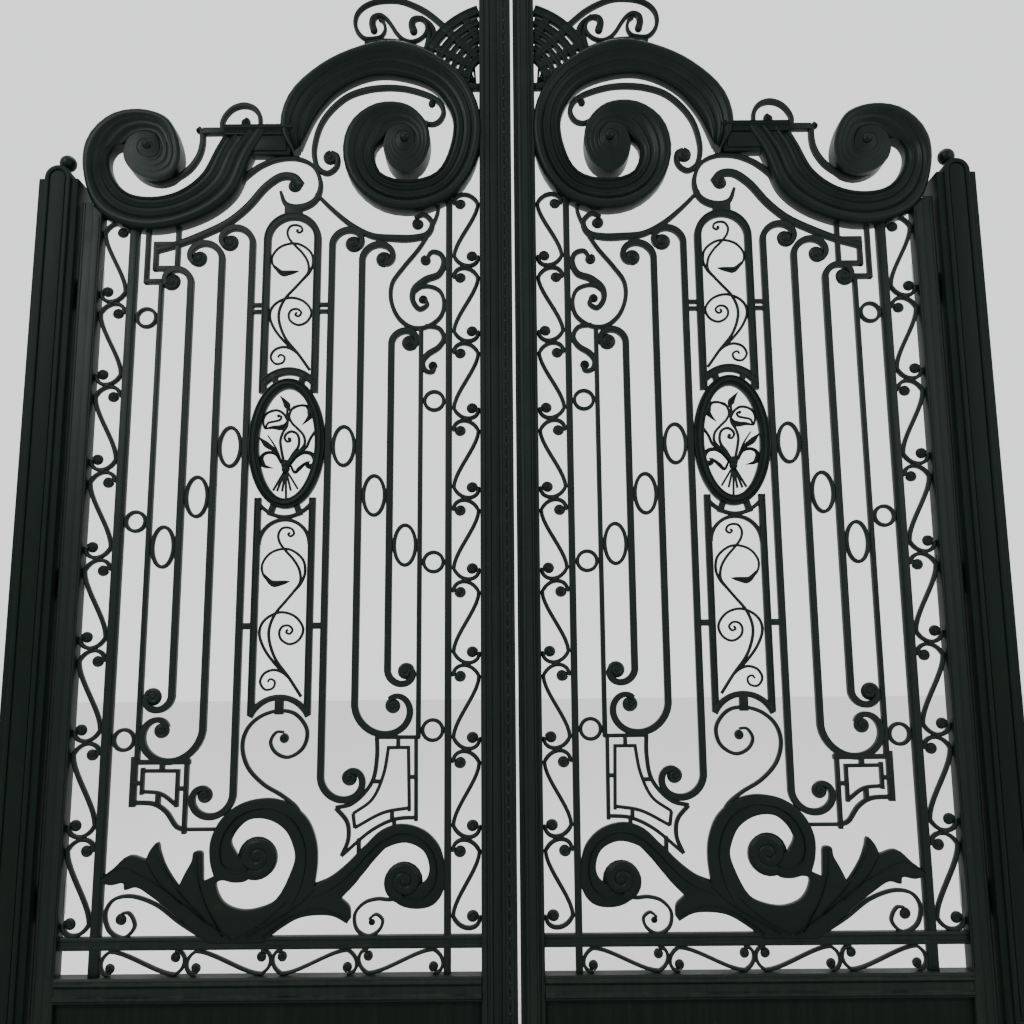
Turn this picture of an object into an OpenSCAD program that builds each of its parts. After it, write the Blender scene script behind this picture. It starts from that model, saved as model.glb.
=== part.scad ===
// Double-leaf wrought iron driveway gate between two iron box posts.
// Every leaf is drawn once, flat, with x from the gate's middle to the hinge side and z from the
// ground up, and is then stood up and mirrored for the left side.

/* [Posts] */
// Width of a post's shaft, across the gate
post_w = 160; // [140:5:200]
// Depth of a post's shaft, through the gate
post_d = 150; // [130:5:180]
// Height of a post's shoulders above the ground
post_h = 3355; // [3200:5:3600]
// Width of the round-topped panel on both faces of a post
panel_face_w = 104; // [90:2:120]
// How far the leaves stand forward of the posts' middle
leaf_forward = 30; // [20:1:36]
// Side of a post's square base plate
base_w = 280; // [260:5:340]
// Thickness of a post's base plate
base_t = 20; // [12:1:30]
// Distance between the anchor holes of a base plate, both ways
anchor_pitch = 230; // [220:2:240]
// Diameter of an anchor hole
anchor_d = 18; // [14:1:24]

/* [Leaf frame] */
// Gap under a leaf
ground_gap = 40; // [25:5:80]
// Width of the hanging stile
hanging_w = 86; // [70:2:110]
// Depth of the meeting stile and of the bar along the hanging stile
stile_d = 60; // [50:2:70]
// Depth of the hanging stile's plate
plate_d = 36; // [30:2:50]
// Distance from the gate's middle to the inner edge of a meeting stile
meeting_x = 113; // [95:1:130]
// Distance from the gate's middle to the gap between the leaves, which lies to the right
meeting_gap_x = 21; // [0:1:30]
// Gap between the two leaves
leaf_gap = 10; // [10:1:16]
// Gap between a leaf and its post
hinge_gap = 10; // [8:1:16]
// Width of the cover strip on the left meeting stile
strip_w = 56; // [30:2:60]
// How far the meeting stiles rise above the springing of the crown
meeting_rise = 1100; // [1060:5:1180]

/* [Bottom of the leaf] */
// Height of the plain kick plate
kick_h = 192; // [150:2:240]
// Thickness of the kick plate
kick_t = 30; // [20:1:40]
// Height of the moulded bottom rail
rail_h = 83; // [60:1:110]
// Clear height of the frieze of lying scrolls
frieze_h = 90; // [80:1:110]
// Height of the rail over the frieze
thin_rail_h = 44; // [30:1:56]

/* [Bars] */
// Width and depth of the thick upright beside the hanging scrolls
thick_bar = 38; // [32:1:44]
// Width and depth of the hooked bars and of the inner upright
bar = 26; // [20:1:32]
// Width and depth of the thin uprights
thin_bar = 18; // [14:1:22]
// Clear width of the scroll columns
column_w = 110; // [100:1:124]
// Clear width between an outer upright and the thin bar, where the rings sit
ring_w = 88; // [76:1:96]
// Clear width between neighbouring bars
bay_w = 95; // [86:1:104]
// Distance between the two bars beside the middle panel
panel_bay = 320; // [310:1:336]
// Width of the bars of rings and ovals
ring_bar = 14; // [10:1:18]

/* [Scrolls] */
// Height of one S-scroll in a column
s_pitch = 342; // [330:1:354]
// Number of S-scrolls in a column
s_count = 8; // [8:1:8]
// Width of the band that S-scrolls are bent from
band_w = 15; // [12:1:18]
// Depth of the band that S-scrolls are bent from
band_d = 24; // [16:1:30]
// Number of lying scrolls in the frieze
frieze_count = 4; // [2:2:6]

/* [Middle panel] */
// Width of the panel frames
panel_w = 232; // [220:1:244]
// Width of the bars of the panel frames
panel_bar = 30; // [24:1:34]
// Half of the height of the oval medallion
medallion_h2 = 238; // [220:1:250]
// Width of the medallion's ring
medallion_bar = 26; // [20:1:32]
// Width of the vine's stem
vine_bar = 9; // [7:0.5:12]

/* [Castings] */
// Width of one step of the large scrolls' mouldings
cast_step = 13; // [10:1:16]
// Depth of the deepest moulding of the large scrolls
cast_d = 96; // [70:1:100]
// Depth of the acanthus base
leaf_d = 44; // [30:1:56]
// Radius of the crest's outer ring
crest_r = 378; // [360:1:390]

/* [Hinges] */
// Radius of a hinge barrel
barrel_r = 20; // [17:1:22]
// Height of one knuckle of a hinge
knuckle_h = 60; // [50:1:80]
// Radius of a hinge pin
pin_r = 10; // [8:0.5:12]
// Number of hinges on a leaf
hinge_count = 3; // [2:1:3]

/* [Hidden] */

iron = [0.10, 0.15, 0.14];
iron_light = [0.16, 0.22, 0.20];
steel = [0.45, 0.46, 0.46];

// Clearance of a pin in its bore, and between two knuckles of one hinge
pin_fit = 0.05;
knuckle_gap = 1;
// Clearance between a barrel and the faces it turns in front of
barrel_gap = 2;
// A hair that closes the seams between neighbouring outlines
seam = 0.05;
// Turn of one straight piece of a spiral, and pieces in one span of a free curve
turn_step = 20;
span_steps = 3;

// Uprights, as distances from the gate's middle
x_inner = meeting_x + column_w + bar / 2;
x_thin_in = x_inner + bar / 2 + ring_w + thin_bar / 2;
x_g = x_thin_in + thin_bar / 2 + bay_w + bar / 2;
x_f = x_g + bar + bay_w;
x_e = x_f + bar + bay_w;
x_mid = x_e + panel_bay / 2;
x_d = x_mid + panel_bay / 2;
x_c = x_d + bar + bay_w;
x_b = x_c + bar + bay_w;
x_thin_out = x_b + bar / 2 + bay_w + thin_bar / 2;
x_outer = x_thin_out + thin_bar / 2 + ring_w + thick_bar / 2;
x_stile = x_outer + thick_bar / 2 + column_w;
x_heel = x_stile + hanging_w;
x_post = x_heel + hinge_gap;
mid_x = x_post + post_w / 2;

// Heights above the ground
z_rail = ground_gap + kick_h;
z_frieze = z_rail + rail_h;
z_thin = z_frieze + frieze_h;
z_field = z_thin + thin_rail_h;
z_spring = z_field + s_count * s_pitch;
z_medallion = z_spring - 899;
z_top = z_spring + meeting_rise;

// Turning axis of a leaf
axis_x = x_post - barrel_r - barrel_gap;
axis_y = stile_d / 2 + barrel_gap + barrel_r;

// Points and curves
function polar(r, a) = [r * cos(a), r * sin(a)];
function bezier(p0, p1, p2, p3, t) = (1 - t) * (1 - t) * (1 - t) * p0
  + 3 * (1 - t) * (1 - t) * t * p1 + 3 * (1 - t) * t * t * p2 + t * t * t * p3;
function reach(a, b) = sqrt(norm(b - a));
function knot(k, i) = i < 0 ? 2 * k[0] - k[1]
  : i >= len(k) ? 2 * k[len(k) - 1] - k[len(k) - 2] : k[i];
function handle(a, b, c, d1, d2) =
  (d1 * d1 * c - d2 * d2 * a + (2 * d1 * d1 + 3 * d1 * d2 + d2 * d2) * b) / (3 * d1 * (d1 + d2));
// A smooth curve through its knots
function curve(k, n = span_steps) = concat(
  [for (i = [0 : len(k) - 2]) let (
      a = knot(k, i - 1), b = k[i], c = k[i + 1], d = knot(k, i + 2),
      d1 = reach(a, b), d2 = reach(b, c), d3 = reach(c, d),
      h1 = handle(a, b, c, d1, d2), h2 = handle(d, c, b, d3, d2))
    for (j = [0 : n - 1]) bezier(b, h1, h2, c, j / n)],
  [k[len(k) - 1]]);
// A spiral about its eye whose radius grows or shrinks evenly from r0 to r1
function spiral(eye, r0, r1, a0, a1, step = turn_step) = let (n = ceil(abs(a1 - a0) / step))
  [for (i = [0 : n]) eye + polar(r0 * pow(r1 / r0, i / n), a0 + (a1 - a0) * i / n)];
function arc(c, r, a0, a1, step = turn_step) = spiral(c, r, r, a0, a1, step);
function flip(path) = [for (p = path) [-p[0], -p[1]]];
function back(path) = [for (i = [len(path) - 1 : -1 : 0]) path[i]];
function side(path, i) = let (
    a = path[max(i - 1, 0)], b = path[min(i + 1, len(path) - 1)], t = (b - a) / norm(b - a))
  [-t[1], t[0]];

// A bar that follows a path, its width looked up from stations between 0 and 1
module band(path, widths) {
  last = len(path) - 1;
  for (i = [0 : last - 1]) {
    h0 = lookup(i / last, widths) / 2;
    h1 = lookup((i + 1) / last, widths) / 2;
    n0 = side(path, i);
    n1 = side(path, i + 1);
    polygon([path[i] - h0 * n0, path[i + 1] - h1 * n1, path[i + 1] + h1 * n1, path[i] + h0 * n0]);
  }
}
module even_band(path, w) band(path, [[0, w], [1, w]]);
module disc(c, r) translate(c) circle(r, $fn = 18);
module box(x0, z0, x1, z1) translate([min(x0, x1), min(z0, z1)])
  square([abs(x1 - x0), abs(z1 - z0)]);

// Stands a flat drawing up, centred on the leaf's middle plane
module stand(depth, y = 0) translate([0, y + depth / 2, 0]) rotate([90, 0, 0])
  linear_extrude(depth) offset(delta = -seam) offset(delta = seam) children();
// Puts a leaf's piece on its side of the gate, -1 left and 1 right
module leaf(s) translate([mid_x, -leaf_forward, 0]) mirror([s < 0 ? 1 : 0, 0, 0]) children();

// Posts
seat_h = 6;
module post(x) color(iron) translate([x, 0, 0]) {
  proud = 12;
  arch_r = panel_face_w / 2;
  difference() {
    translate([-base_w / 2, -base_w / 2, 0]) cube([base_w, base_w, base_t]);
    for (a = [-1, 1], b = [-1, 1])
      translate([a * anchor_pitch / 2, b * anchor_pitch / 2, -1])
        cylinder(d = anchor_d, h = base_t + 2, $fn = 32);
  }
  translate([-post_w / 2, -post_d / 2, base_t]) cube([post_w, post_d, post_h - base_t]);
  stand(post_d + 2 * proud) {
    box(-arch_r, base_t + 120, arch_r, post_h);
    intersection() {
      translate([0, post_h]) circle(arch_r, $fn = 36);
      box(-arch_r, post_h, arch_r, post_h + arch_r);
    }
  }
  translate([0, 0, post_h + arch_r / 2 + seat_h / 2])
    cube([panel_face_w / 3, panel_face_w / 3, arch_r + seat_h], center = true);
}
module post_cap(x) color(iron) translate([x, 0, post_h + panel_face_w / 2 + seat_h]) {
  ball_r = 34;
  neck_h = 14;
  cylinder(r = 15, h = neck_h, $fn = 32);
  translate([0, 0, neck_h + ball_r - 4]) sphere(ball_r, $fn = 48);
}

// Heights of the hinges, at the level where their two knuckles meet
hinge_z0 = z_field + 98;
hinge_z1 = z_spring - 282;
function hinge_z(i) = hinge_z0 + (hinge_z1 - hinge_z0) * i / (hinge_count - 1);
module post_hinges(s) color(steel) leaf(s)
  for (i = [0 : hinge_count - 1]) translate([axis_x, axis_y, hinge_z(i)]) {
    translate([0, 0, -knuckle_h]) cylinder(r = barrel_r, h = knuckle_h, $fn = 48);
    difference() {
      translate([0, -barrel_r / 2, -knuckle_h]) cube([x_post - axis_x, barrel_r, knuckle_h]);
      translate([0, 0, -knuckle_h - 1]) cylinder(r = barrel_r / 2, h = knuckle_h + 2, $fn = 48);
    }
    cylinder(r = pin_r, h = knuckle_h + 6, $fn = 48);
  }
module leaf_knuckles() for (i = [0 : hinge_count - 1])
  translate([axis_x, axis_y, hinge_z(i) + knuckle_gap]) difference() {
    union() {
      cylinder(r = barrel_r, h = knuckle_h, $fn = 48);
      translate([-barrel_r * 1.5, plate_d / 2 - axis_y, 0])
        cube([barrel_r * 1.5, axis_y - plate_d / 2, knuckle_h]);
    }
    translate([0, 0, -1]) cylinder(r = pin_r + pin_fit, h = knuckle_h + 2, $fn = 48);
  }

// Frame of the leaf
stile_top = z_spring + 78;
module hanging_stile(s) color(iron) leaf(s) {
  stand(plate_d) difference() {
    box(x_stile, ground_gap, x_heel, stile_top);
    outer_scroll_shape();
  }
  stand(stile_d) difference() {
    box(x_stile, ground_gap, x_stile + thick_bar, stile_top);
    outer_scroll_shape();
  }
  leaf_knuckles();
}
module meeting_stile(s) color(iron) leaf(s) {
  edge = s < 0 ? -meeting_gap_x + leaf_gap / 2 : meeting_gap_x + leaf_gap / 2;
  strip_d = 14;
  ball_r = 30;
  translate([edge, -stile_d / 2, ground_gap]) cube([meeting_x - edge, stile_d, z_top - ground_gap]);
  if (s < 0) translate([edge, -stile_d / 2 - strip_d, ground_gap])
    cube([strip_w, strip_d, z_top - ground_gap]);
  translate([(meeting_x + edge) / 2, 0, z_top + 16]) sphere(ball_r, $fn = 48);
}
module kick_rail(s) color(iron) leaf(s) {
  mould = 12;
  translate([meeting_x, -kick_t / 2, ground_gap]) cube([x_stile - meeting_x, kick_t, kick_h]);
  translate([meeting_x, -stile_d / 2, z_rail]) cube([x_stile - meeting_x, stile_d, rail_h]);
  for (z = [z_rail + mould, z_frieze - 2 * mould])
    translate([meeting_x, -stile_d / 2 - mould, z])
      cube([x_stile - meeting_x, stile_d + 2 * mould, mould]);
}

// Straight uprights, the thin rail that they pass, and the rings between them
key_z = z_field + 612;
jog_z = z_spring - 264;
jog_x = 62;
ring_z_out = [z_spring - 406, z_field + 1511, z_field + 692];
ring_z_in = [z_spring - 756, z_field + 1346, z_field + 719];
module uprights_shape() {
  box(meeting_x, z_thin, x_stile, z_field);
  box(x_outer - thick_bar / 2, z_frieze, x_outer + thick_bar / 2, z_spring + 98);
  box(x_inner - bar / 2, z_frieze, x_inner + bar / 2, z_spring + 238);
  box(x_thin_out - thin_bar / 2, key_z, x_thin_out + thin_bar / 2, jog_z + thin_bar);
  box(x_thin_out - thin_bar / 2, jog_z, x_thin_out + jog_x + thin_bar / 2, jog_z + thin_bar);
  box(x_thin_out + jog_x - thin_bar / 2, jog_z, x_thin_out + jog_x + thin_bar / 2, z_spring + 98);
  box(x_thin_in - thin_bar / 2, key_z + 80, x_thin_in + thin_bar / 2, z_spring - 456);
  ring((x_outer - thick_bar / 2 + x_thin_out + thin_bar / 2) / 2, ring_z_out);
  ring((x_inner + bar / 2 + x_thin_in - thin_bar / 2) / 2, ring_z_in);
}
module ring(x, heights) for (z = heights) translate([x, z]) difference() {
  circle(ring_w / 2 + seam, $fn = 24);
  circle(ring_w / 2 - ring_bar, $fn = 24);
}
module uprights(s) color(iron) leaf(s) stand(bar) difference() {
  uprights_shape();
  outer_scroll_shape();
  inner_scroll_shape();
}

// Hooked bars: each end turns over and winds into a heavy eye
// bar, height of the eye, reach of the hook, side it turns to, up or down, turn, radius of the eye
hooks = [
  [x_b, z_spring - 256, 75, 1, 1, 200, 32], [x_b, z_field + 848, 69, 1, -1, 200, 32],
  [x_c, z_spring - 159, 92, 1, 1, 215, 30], [x_c, z_field + 724, 154, 1, -1, 330, 26],
  [x_d, z_spring - 92, 90, 1, 1, 215, 31], [x_d, z_field + 490, 104, 1, -1, 300, 26],
  [x_e, z_spring - 101, 84, -1, 1, 215, 31], [x_e, z_field + 548, 107, -1, -1, 300, 26],
  [x_f, z_spring - 166, 86, -1, 1, 260, 30], [x_f, z_field + 808, 143, -1, -1, 300, 26],
  [x_g, z_spring - 518, 71, -1, 1, 215, 30], [x_g, z_field + 936, 68, -1, -1, 200, 30]];
hook_shrink = 0.61;
module hook(h) {
  eye = [h[0] + h[3] * h[2], h[1]];
  last_r = h[2] * pow(hook_shrink, h[5] / 90);
  start = h[3] > 0 ? 180 : 0;
  path = spiral(eye, h[2], last_r, start, start - h[3] * h[4] * h[5], 12);
  band(path, [[0, bar], [0.5, bar * 0.92], [1, bar * 0.7]]);
  disc(eye, h[6]);
}
oval_z = [z_spring - 1324, z_spring - 1130, z_spring - 934];
oval_h = 84;
module oval(x, z) translate([x, z]) difference() {
  scale([1, oval_h / (bay_w / 2)]) circle(bay_w / 2 + seam, $fn = 24);
  scale([1, (oval_h - ring_bar) / (bay_w / 2 - ring_bar)]) circle(bay_w / 2 - ring_bar, $fn = 24);
}
module hooked_bars_shape() {
  for (i = [0 : 2 : len(hooks) - 2]) {
    box(hooks[i][0] - bar / 2, hooks[i + 1][1], hooks[i][0] + bar / 2, hooks[i][1]);
    hook(hooks[i]);
    hook(hooks[i + 1]);
  }
  step = bar + bay_w;
  for (i = [0 : 2]) {
    oval(x_d + bar / 2 + bay_w / 2 + (2 - i) * step, oval_z[i]);
    oval(x_e - bar / 2 - bay_w / 2 - (2 - i) * step, oval_z[i]);
  }
}
module hooked_bars(s) color(iron) leaf(s) stand(bar) difference() {
  hooked_bars_shape();
  uprights_shape();
  acanthus_shape();
}

// One S-scroll, drawn upright about its middle: its upper eye is on the right
function s_path(w, p, b) = let (
    upper = spiral([0.25 * w, p / 2 - 0.41 * w], (w - b) * 0.19, (w - b) / 2 + 0.25 * w, 0, 180),
    a = upper[len(upper) - 1], c = 0.2 * p)
  concat(upper, [for (t = [0.15 : 0.175 : 0.86]) bezier(a, a - [0, c], [0, c] - a, -a, t)],
    flip(back(upper)));
module s_scroll(w, p, b) {
  eye = [0.2 * w, p / 2 - 0.41 * w];
  even_band(s_path(w, p, b), b);
  disc(eye, 0.2 * w);
  disc(-eye, 0.2 * w);
}
module column(x, m) for (i = [0 : s_count - 1])
  translate([x, z_field + (i + 0.5) * s_pitch]) mirror([m, 0]) s_scroll(column_w, s_pitch, band_w);
module side_scrolls_shape() {
  column(x_stile - column_w / 2, 1);
  column(meeting_x + column_w / 2, 0);
}
module side_scrolls(s) color(iron) leaf(s) stand(band_d) difference() {
  side_scrolls_shape();
  uprights_shape();
  box(x_stile, ground_gap, x_heel, z_top);
  box(0, ground_gap, meeting_x, z_top);
  outer_scroll_shape();
  inner_scroll_shape();
}
frieze_x0 = x_inner + bar / 2;
frieze_pitch = (x_outer - thick_bar / 2 - frieze_x0) / frieze_count;
module frieze(s) color(iron) leaf(s) stand(band_d) difference() {
  for (i = [0 : frieze_count - 1])
    translate([frieze_x0 + (i + 0.5) * frieze_pitch, (z_frieze + z_thin) / 2])
      mirror([i < frieze_count / 2 ? 1 : 0, 0]) rotate(90) s_scroll(frieze_h, frieze_pitch, band_w * 0.8);
  uprights_shape();
  box(0, 0, x_heel, z_frieze);
}

// Middle panel
medallion_w2 = panel_bay / 2 - bar / 2;
module medallion_shape() translate([x_mid, z_medallion]) difference() {
  scale([1, medallion_h2 / medallion_w2]) circle(medallion_w2 + seam, $fn = 44);
  scale([1, (medallion_h2 - medallion_bar) / (medallion_w2 - medallion_bar)])
    circle(medallion_w2 - medallion_bar, $fn = 44);
}
module medallion(s) color(iron_light) leaf(s) stand(40) difference() {
  medallion_shape();
  hooked_bars_shape();
}
panel_top = z_spring + 34;
panel_foot = z_field + 776;
collar_gap = 15;
collar_w = 30;
// An oval outside the medallion, which the panel's collars follow
module medallion_oval(grow) translate([x_mid, z_medallion])
  scale([1, (medallion_h2 + grow) / (medallion_w2 + grow)]) circle(medallion_w2 + grow, $fn = 44);
module collar() intersection() {
  difference() {
    medallion_oval(collar_gap + collar_w);
    medallion_oval(collar_gap);
  }
  box(x_mid - panel_w / 2, z_medallion - 2 * medallion_h2,
    x_mid + panel_w / 2, z_medallion + 2 * medallion_h2);
}
module spokes(up) difference() {
  for (a = [-1, 1]) translate([x_mid, z_medallion]) rotate(up * 90 + a * 9)
    translate([medallion_h2 - 30, -9]) square([60, 18]);
  medallion_oval(0);
}
module upper_panel_shape() {
  r = panel_w / 2;
  difference() {
    union() {
      box(x_mid - r, z_medallion + 100, x_mid + r, panel_top - r);
      disc([x_mid, panel_top - r], r);
    }
    box(x_mid - r + panel_bar, 0, x_mid + r - panel_bar, panel_top - r);
    disc([x_mid, panel_top - r], r - panel_bar);
    medallion_oval(collar_gap);
  }
  intersection() {
    collar();
    box(0, z_medallion, x_heel, z_top);
  }
  spokes(1);
}
tie_h = 14;
module ties(z, count) for (s = [-1, 1], i = [0 : count - 1])
  box(x_mid + s * panel_w / 2, z + i * 2 * tie_h, x_mid + s * medallion_w2, z + i * 2 * tie_h + tie_h);
module upper_panel(s) color(iron) leaf(s) stand(bar) difference() {
  union() {
    upper_panel_shape();
    ties(z_spring - 392, 2);
  }
  hooked_bars_shape();
  medallion_shape();
}
foot_r = 150;
vine_top = z_medallion - medallion_h2 - 94;
module lower_panel_shape() {
  r = panel_w / 2;
  inner = r - panel_bar;
  arch_top = vine_top + 9;
  difference() {
    box(x_mid - r, panel_foot, x_mid + r, z_medallion - 160);
    box(x_mid - inner, 0, x_mid + inner, z_medallion);
    medallion_oval(collar_gap);
  }
  intersection() {
    collar();
    box(0, 0, x_heel, z_medallion);
  }
  intersection() {
    even_band(arc([x_mid, arch_top - r + 10], r - 10, 0, 180, 12), 18);
    box(x_mid - r, 0, x_mid + r, arch_top + 10);
  }
  intersection() {
    even_band(arc([x_mid, panel_foot + 76 - foot_r], foot_r, 30, 150, 10), 22);
    box(x_mid - r, 0, x_mid + r, z_medallion);
  }
  spokes(-1);
}
module lower_panel(s) color(iron) leaf(s) stand(bar) difference() {
  union() {
    difference() {
      lower_panel_shape();
      disc([x_mid, panel_foot + 76 - foot_r], foot_r - 11);
    }
    ties(z_field + 1101, 1);
  }
  hooked_bars_shape();
  medallion_shape();
}

// A vine in a panel: its points are shares of the panel's clear width and height
module vine(z0, z1) {
  w = panel_w / 2 - panel_bar + 3;
  h = z1 - z0;
  k = h / 664;
  module stem(path, b0, b1) even_curve([for (p = path) [x_mid - p[0] * w / 86, z1 - p[1] * k]], b0, b1);
  module even_curve(path, b0, b1) band(curve(path, 2), [[0, b0], [1, b1]]);
  stem([[24, 40], [10, 22], [-14, 30], [-22, 60], [7, 110], [38, 147], [60, 191], [63, 236],
    [40, 272], [11, 309],
    [-24, 354], [-44, 405], [-45, 449], [-21, 523], [32, 597], [78, 668]], vine_bar, vine_bar);
  stem([[40, 272], [66, 240], [80, 200], [72, 150], [29, 112], [-7, 107], [-52, 125], [-79, 169],
    [-70, 212],
    [-38, 238]], vine_bar, vine_bar);
  stem([[-70, 212], [-38, 236], [0, 236], [28, 226]], vine_bar * 1.7, 2);
  stem([[32, 597], [-20, 545], [-62, 486], [-80, 435], [-75, 398], [-50, 368], [-2, 350], [50, 368],
    [79, 420],
    [66, 460], [30, 477], [-4, 453], [-9, 424], [10, 405]], vine_bar, vine_bar);
  stem([[32, 597], [2, 578], [-31, 575], [-68, 597], [-78, 626], [-59, 652], [-29, 648], [-20, 628]],
    vine_bar, vine_bar * 0.8);
  for (e = [[22, 44, 13], [16, 424, 15], [-32, 630, 13]])
    disc([x_mid - e[0] * w / 86, z1 - e[1] * k], e[2]);
}
module vines(s) color(iron_light) leaf(s) stand(14) difference() {
  union() {
    vine(z_medallion + medallion_h2 + collar_gap + collar_w - 6, panel_top - panel_bar);
    vine(panel_foot + 72, vine_top + 2);
  }
  upper_panel_shape();
  lower_panel_shape();
}

// A bouquet of stems tied together in the medallion
bouquet_tie = z_medallion - 126;
module bouquet(s) color(iron_light) leaf(s) stand(16) intersection() {
  translate([x_mid, bouquet_tie]) {
    for (i = [-2 : 2]) even_band([[0, 0], [i * 17, -40], [i * 30, -100]], 9);
    disc([0, 0], 20);
    for (s = [-1, 1]) mirror([s < 0 ? 1 : 0, 0]) {
      band(curve([[0, 0], [40, 60], [82, 84], [100, 60], [90, 34], [66, 38]], 2), [[0, 10], [1, 9]]);
      disc([76, 50], 12);
      band(curve([[0, 0], [30, 90], [76, 150], [98, 190], [90, 236], [62, 238],
        [56, 214]], 2), [[0, 10], [1, 9]]);
      disc([68, 218], 12);
      band(curve([[0, 0], [12, 100], [40, 190], [70, 260], [60, 310], [20, 330]], 2), [[0, 10], [1, 6]]);
      band(curve([[30, 90], [70, 104], [104, 130], [112, 170]], 2), [[0, 8], [0.6, 14], [1, 3]]);
      band(curve([[0, 0], [60, 20], [96, 0], [100, -40]], 2), [[0, 8], [0.6, 14], [1, 3]]);
    }
    band(curve([[0, 0], [-6, 60], [-30, 110], [-34, 150], [0, 170], [30, 150], [22, 120],
      [0, 122]], 2), [[0, 10], [1, 9]]);
    disc([4, 136], 13);
  }
  translate([x_mid, z_medallion])
    scale([1, (medallion_h2 - medallion_bar) / (medallion_w2 - medallion_bar)])
      circle(medallion_w2 - medallion_bar - seam, $fn = 44);
}

// Cast acanthus base: its outline is drawn for uprights 1264 apart and S-scrolls 342 high
function drawn(p) = [x_mid + (p[0] - 865) * (x_outer - x_inner) / 1264,
  z_field + (p[1] - 449) * s_pitch / 342];
function drawn_curve(k, n = span_steps) = curve([for (p = k) drawn(p)], n);
acanthus_eyes = [[925, 722, 73], [399, 645, 68]];
module acanthus_shape() {
  difference() {
    polygon(concat(
      drawn_curve([[899, 427], [831, 477], [770, 510], [701, 520], [646, 515], [597, 490]], 2),
      drawn_curve([[584, 508], [588, 548], [619, 577]], 2),
      drawn_curve([[619, 577], [558, 640], [511, 713], [456, 752], [386, 768], [323, 738], [302, 678],
        [315, 638],
        [353, 612]], 3),
      drawn_curve([[410, 640], [450, 612], [419, 559], [356, 539], [287, 552], [249, 604], [248, 690],
        [267, 757],
        [323, 812], [408, 836], [491, 823], [561, 773], [649, 687], [717, 631]], 3),
      drawn_curve([[717, 631], [708, 700], [714, 775], [745, 850], [800, 900], [860, 925], [923, 928],
        [1000, 908],
        [1064, 856], [1100, 780], [1098, 705], [1083, 657]], 3),
      drawn_curve([[1121, 640], [1124, 700], [1130, 742], [1158, 742], [1165, 710], [1186, 671],
        [1209, 622]], 2),
      drawn_curve([[1209, 622], [1250, 665], [1276, 720], [1291, 777], [1316, 752], [1332, 717]], 2),
      drawn_curve([[1332, 717], [1393, 732], [1452, 683], [1506, 642]], 3),
      drawn_curve([[1506, 642], [1455, 628], [1409, 634], [1403, 612], [1361, 620], [1306, 589],
        [1201, 512],
        [1104, 433], [1085, 427]], 2)));
    polygon(drawn_curve([[1000, 730], [1024, 775], [1010, 822], [968, 850], [925, 858], [872, 846],
      [825, 812],
      [800, 765], [790, 722], [802, 675], [855, 576], [916, 547], [981, 541], [1041, 564],
      [1068, 605], [1072, 634],
      [1050, 642], [1010, 634], [960, 642], [930, 700]], 2));
  }
  for (e = acanthus_eyes) disc(drawn([e[0], e[1]]), e[2]);
}
module acanthus(s) color(iron) leaf(s) stand(leaf_d) difference() {
  acanthus_shape();
  uprights_shape();
}

// Thin spirals beside the acanthus, and the C-scroll between it and the lower panel
module base_spirals_shape() {
  even_band(drawn_curve([[439, 560], [488, 573], [536, 560], [570, 521], [562, 469], [521, 446],
    [480, 468], [470, 501],
    [494, 524], [515, 510]]), 13);
  disc(drawn([512, 496]), 15);
  even_band(drawn_curve([[1130, 455], [1200, 497], [1290, 560], [1385, 589], [1444, 576], [1470, 531],
    [1452, 470], [1400, 446],
    [1362, 485], [1385, 530], [1410, 530]]), 13);
  disc(drawn([1412, 508]), 20);
  even_band(drawn_curve([[787, 890], [845, 937], [916, 979], [975, 1041], [997, 1117], [980, 1179],
    [931, 1224], [861, 1243],
    [803, 1230], [759, 1171], [772, 1108], [827, 1074], [874, 1092], [893, 1130], [872, 1165],
    [845, 1165]]), 14);
  disc(drawn([843, 1142]), 18);
  for (s = [-1, 1]) box(x_mid + s * 24, panel_foot, x_mid + s * 8, panel_foot + 70);
}
module base_spirals(s) color(iron) leaf(s) stand(band_d) difference() {
  base_spirals_shape();
  acanthus_shape();
  uprights_shape();
  hooked_bars_shape();
  lower_panel_shape();
}

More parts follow.
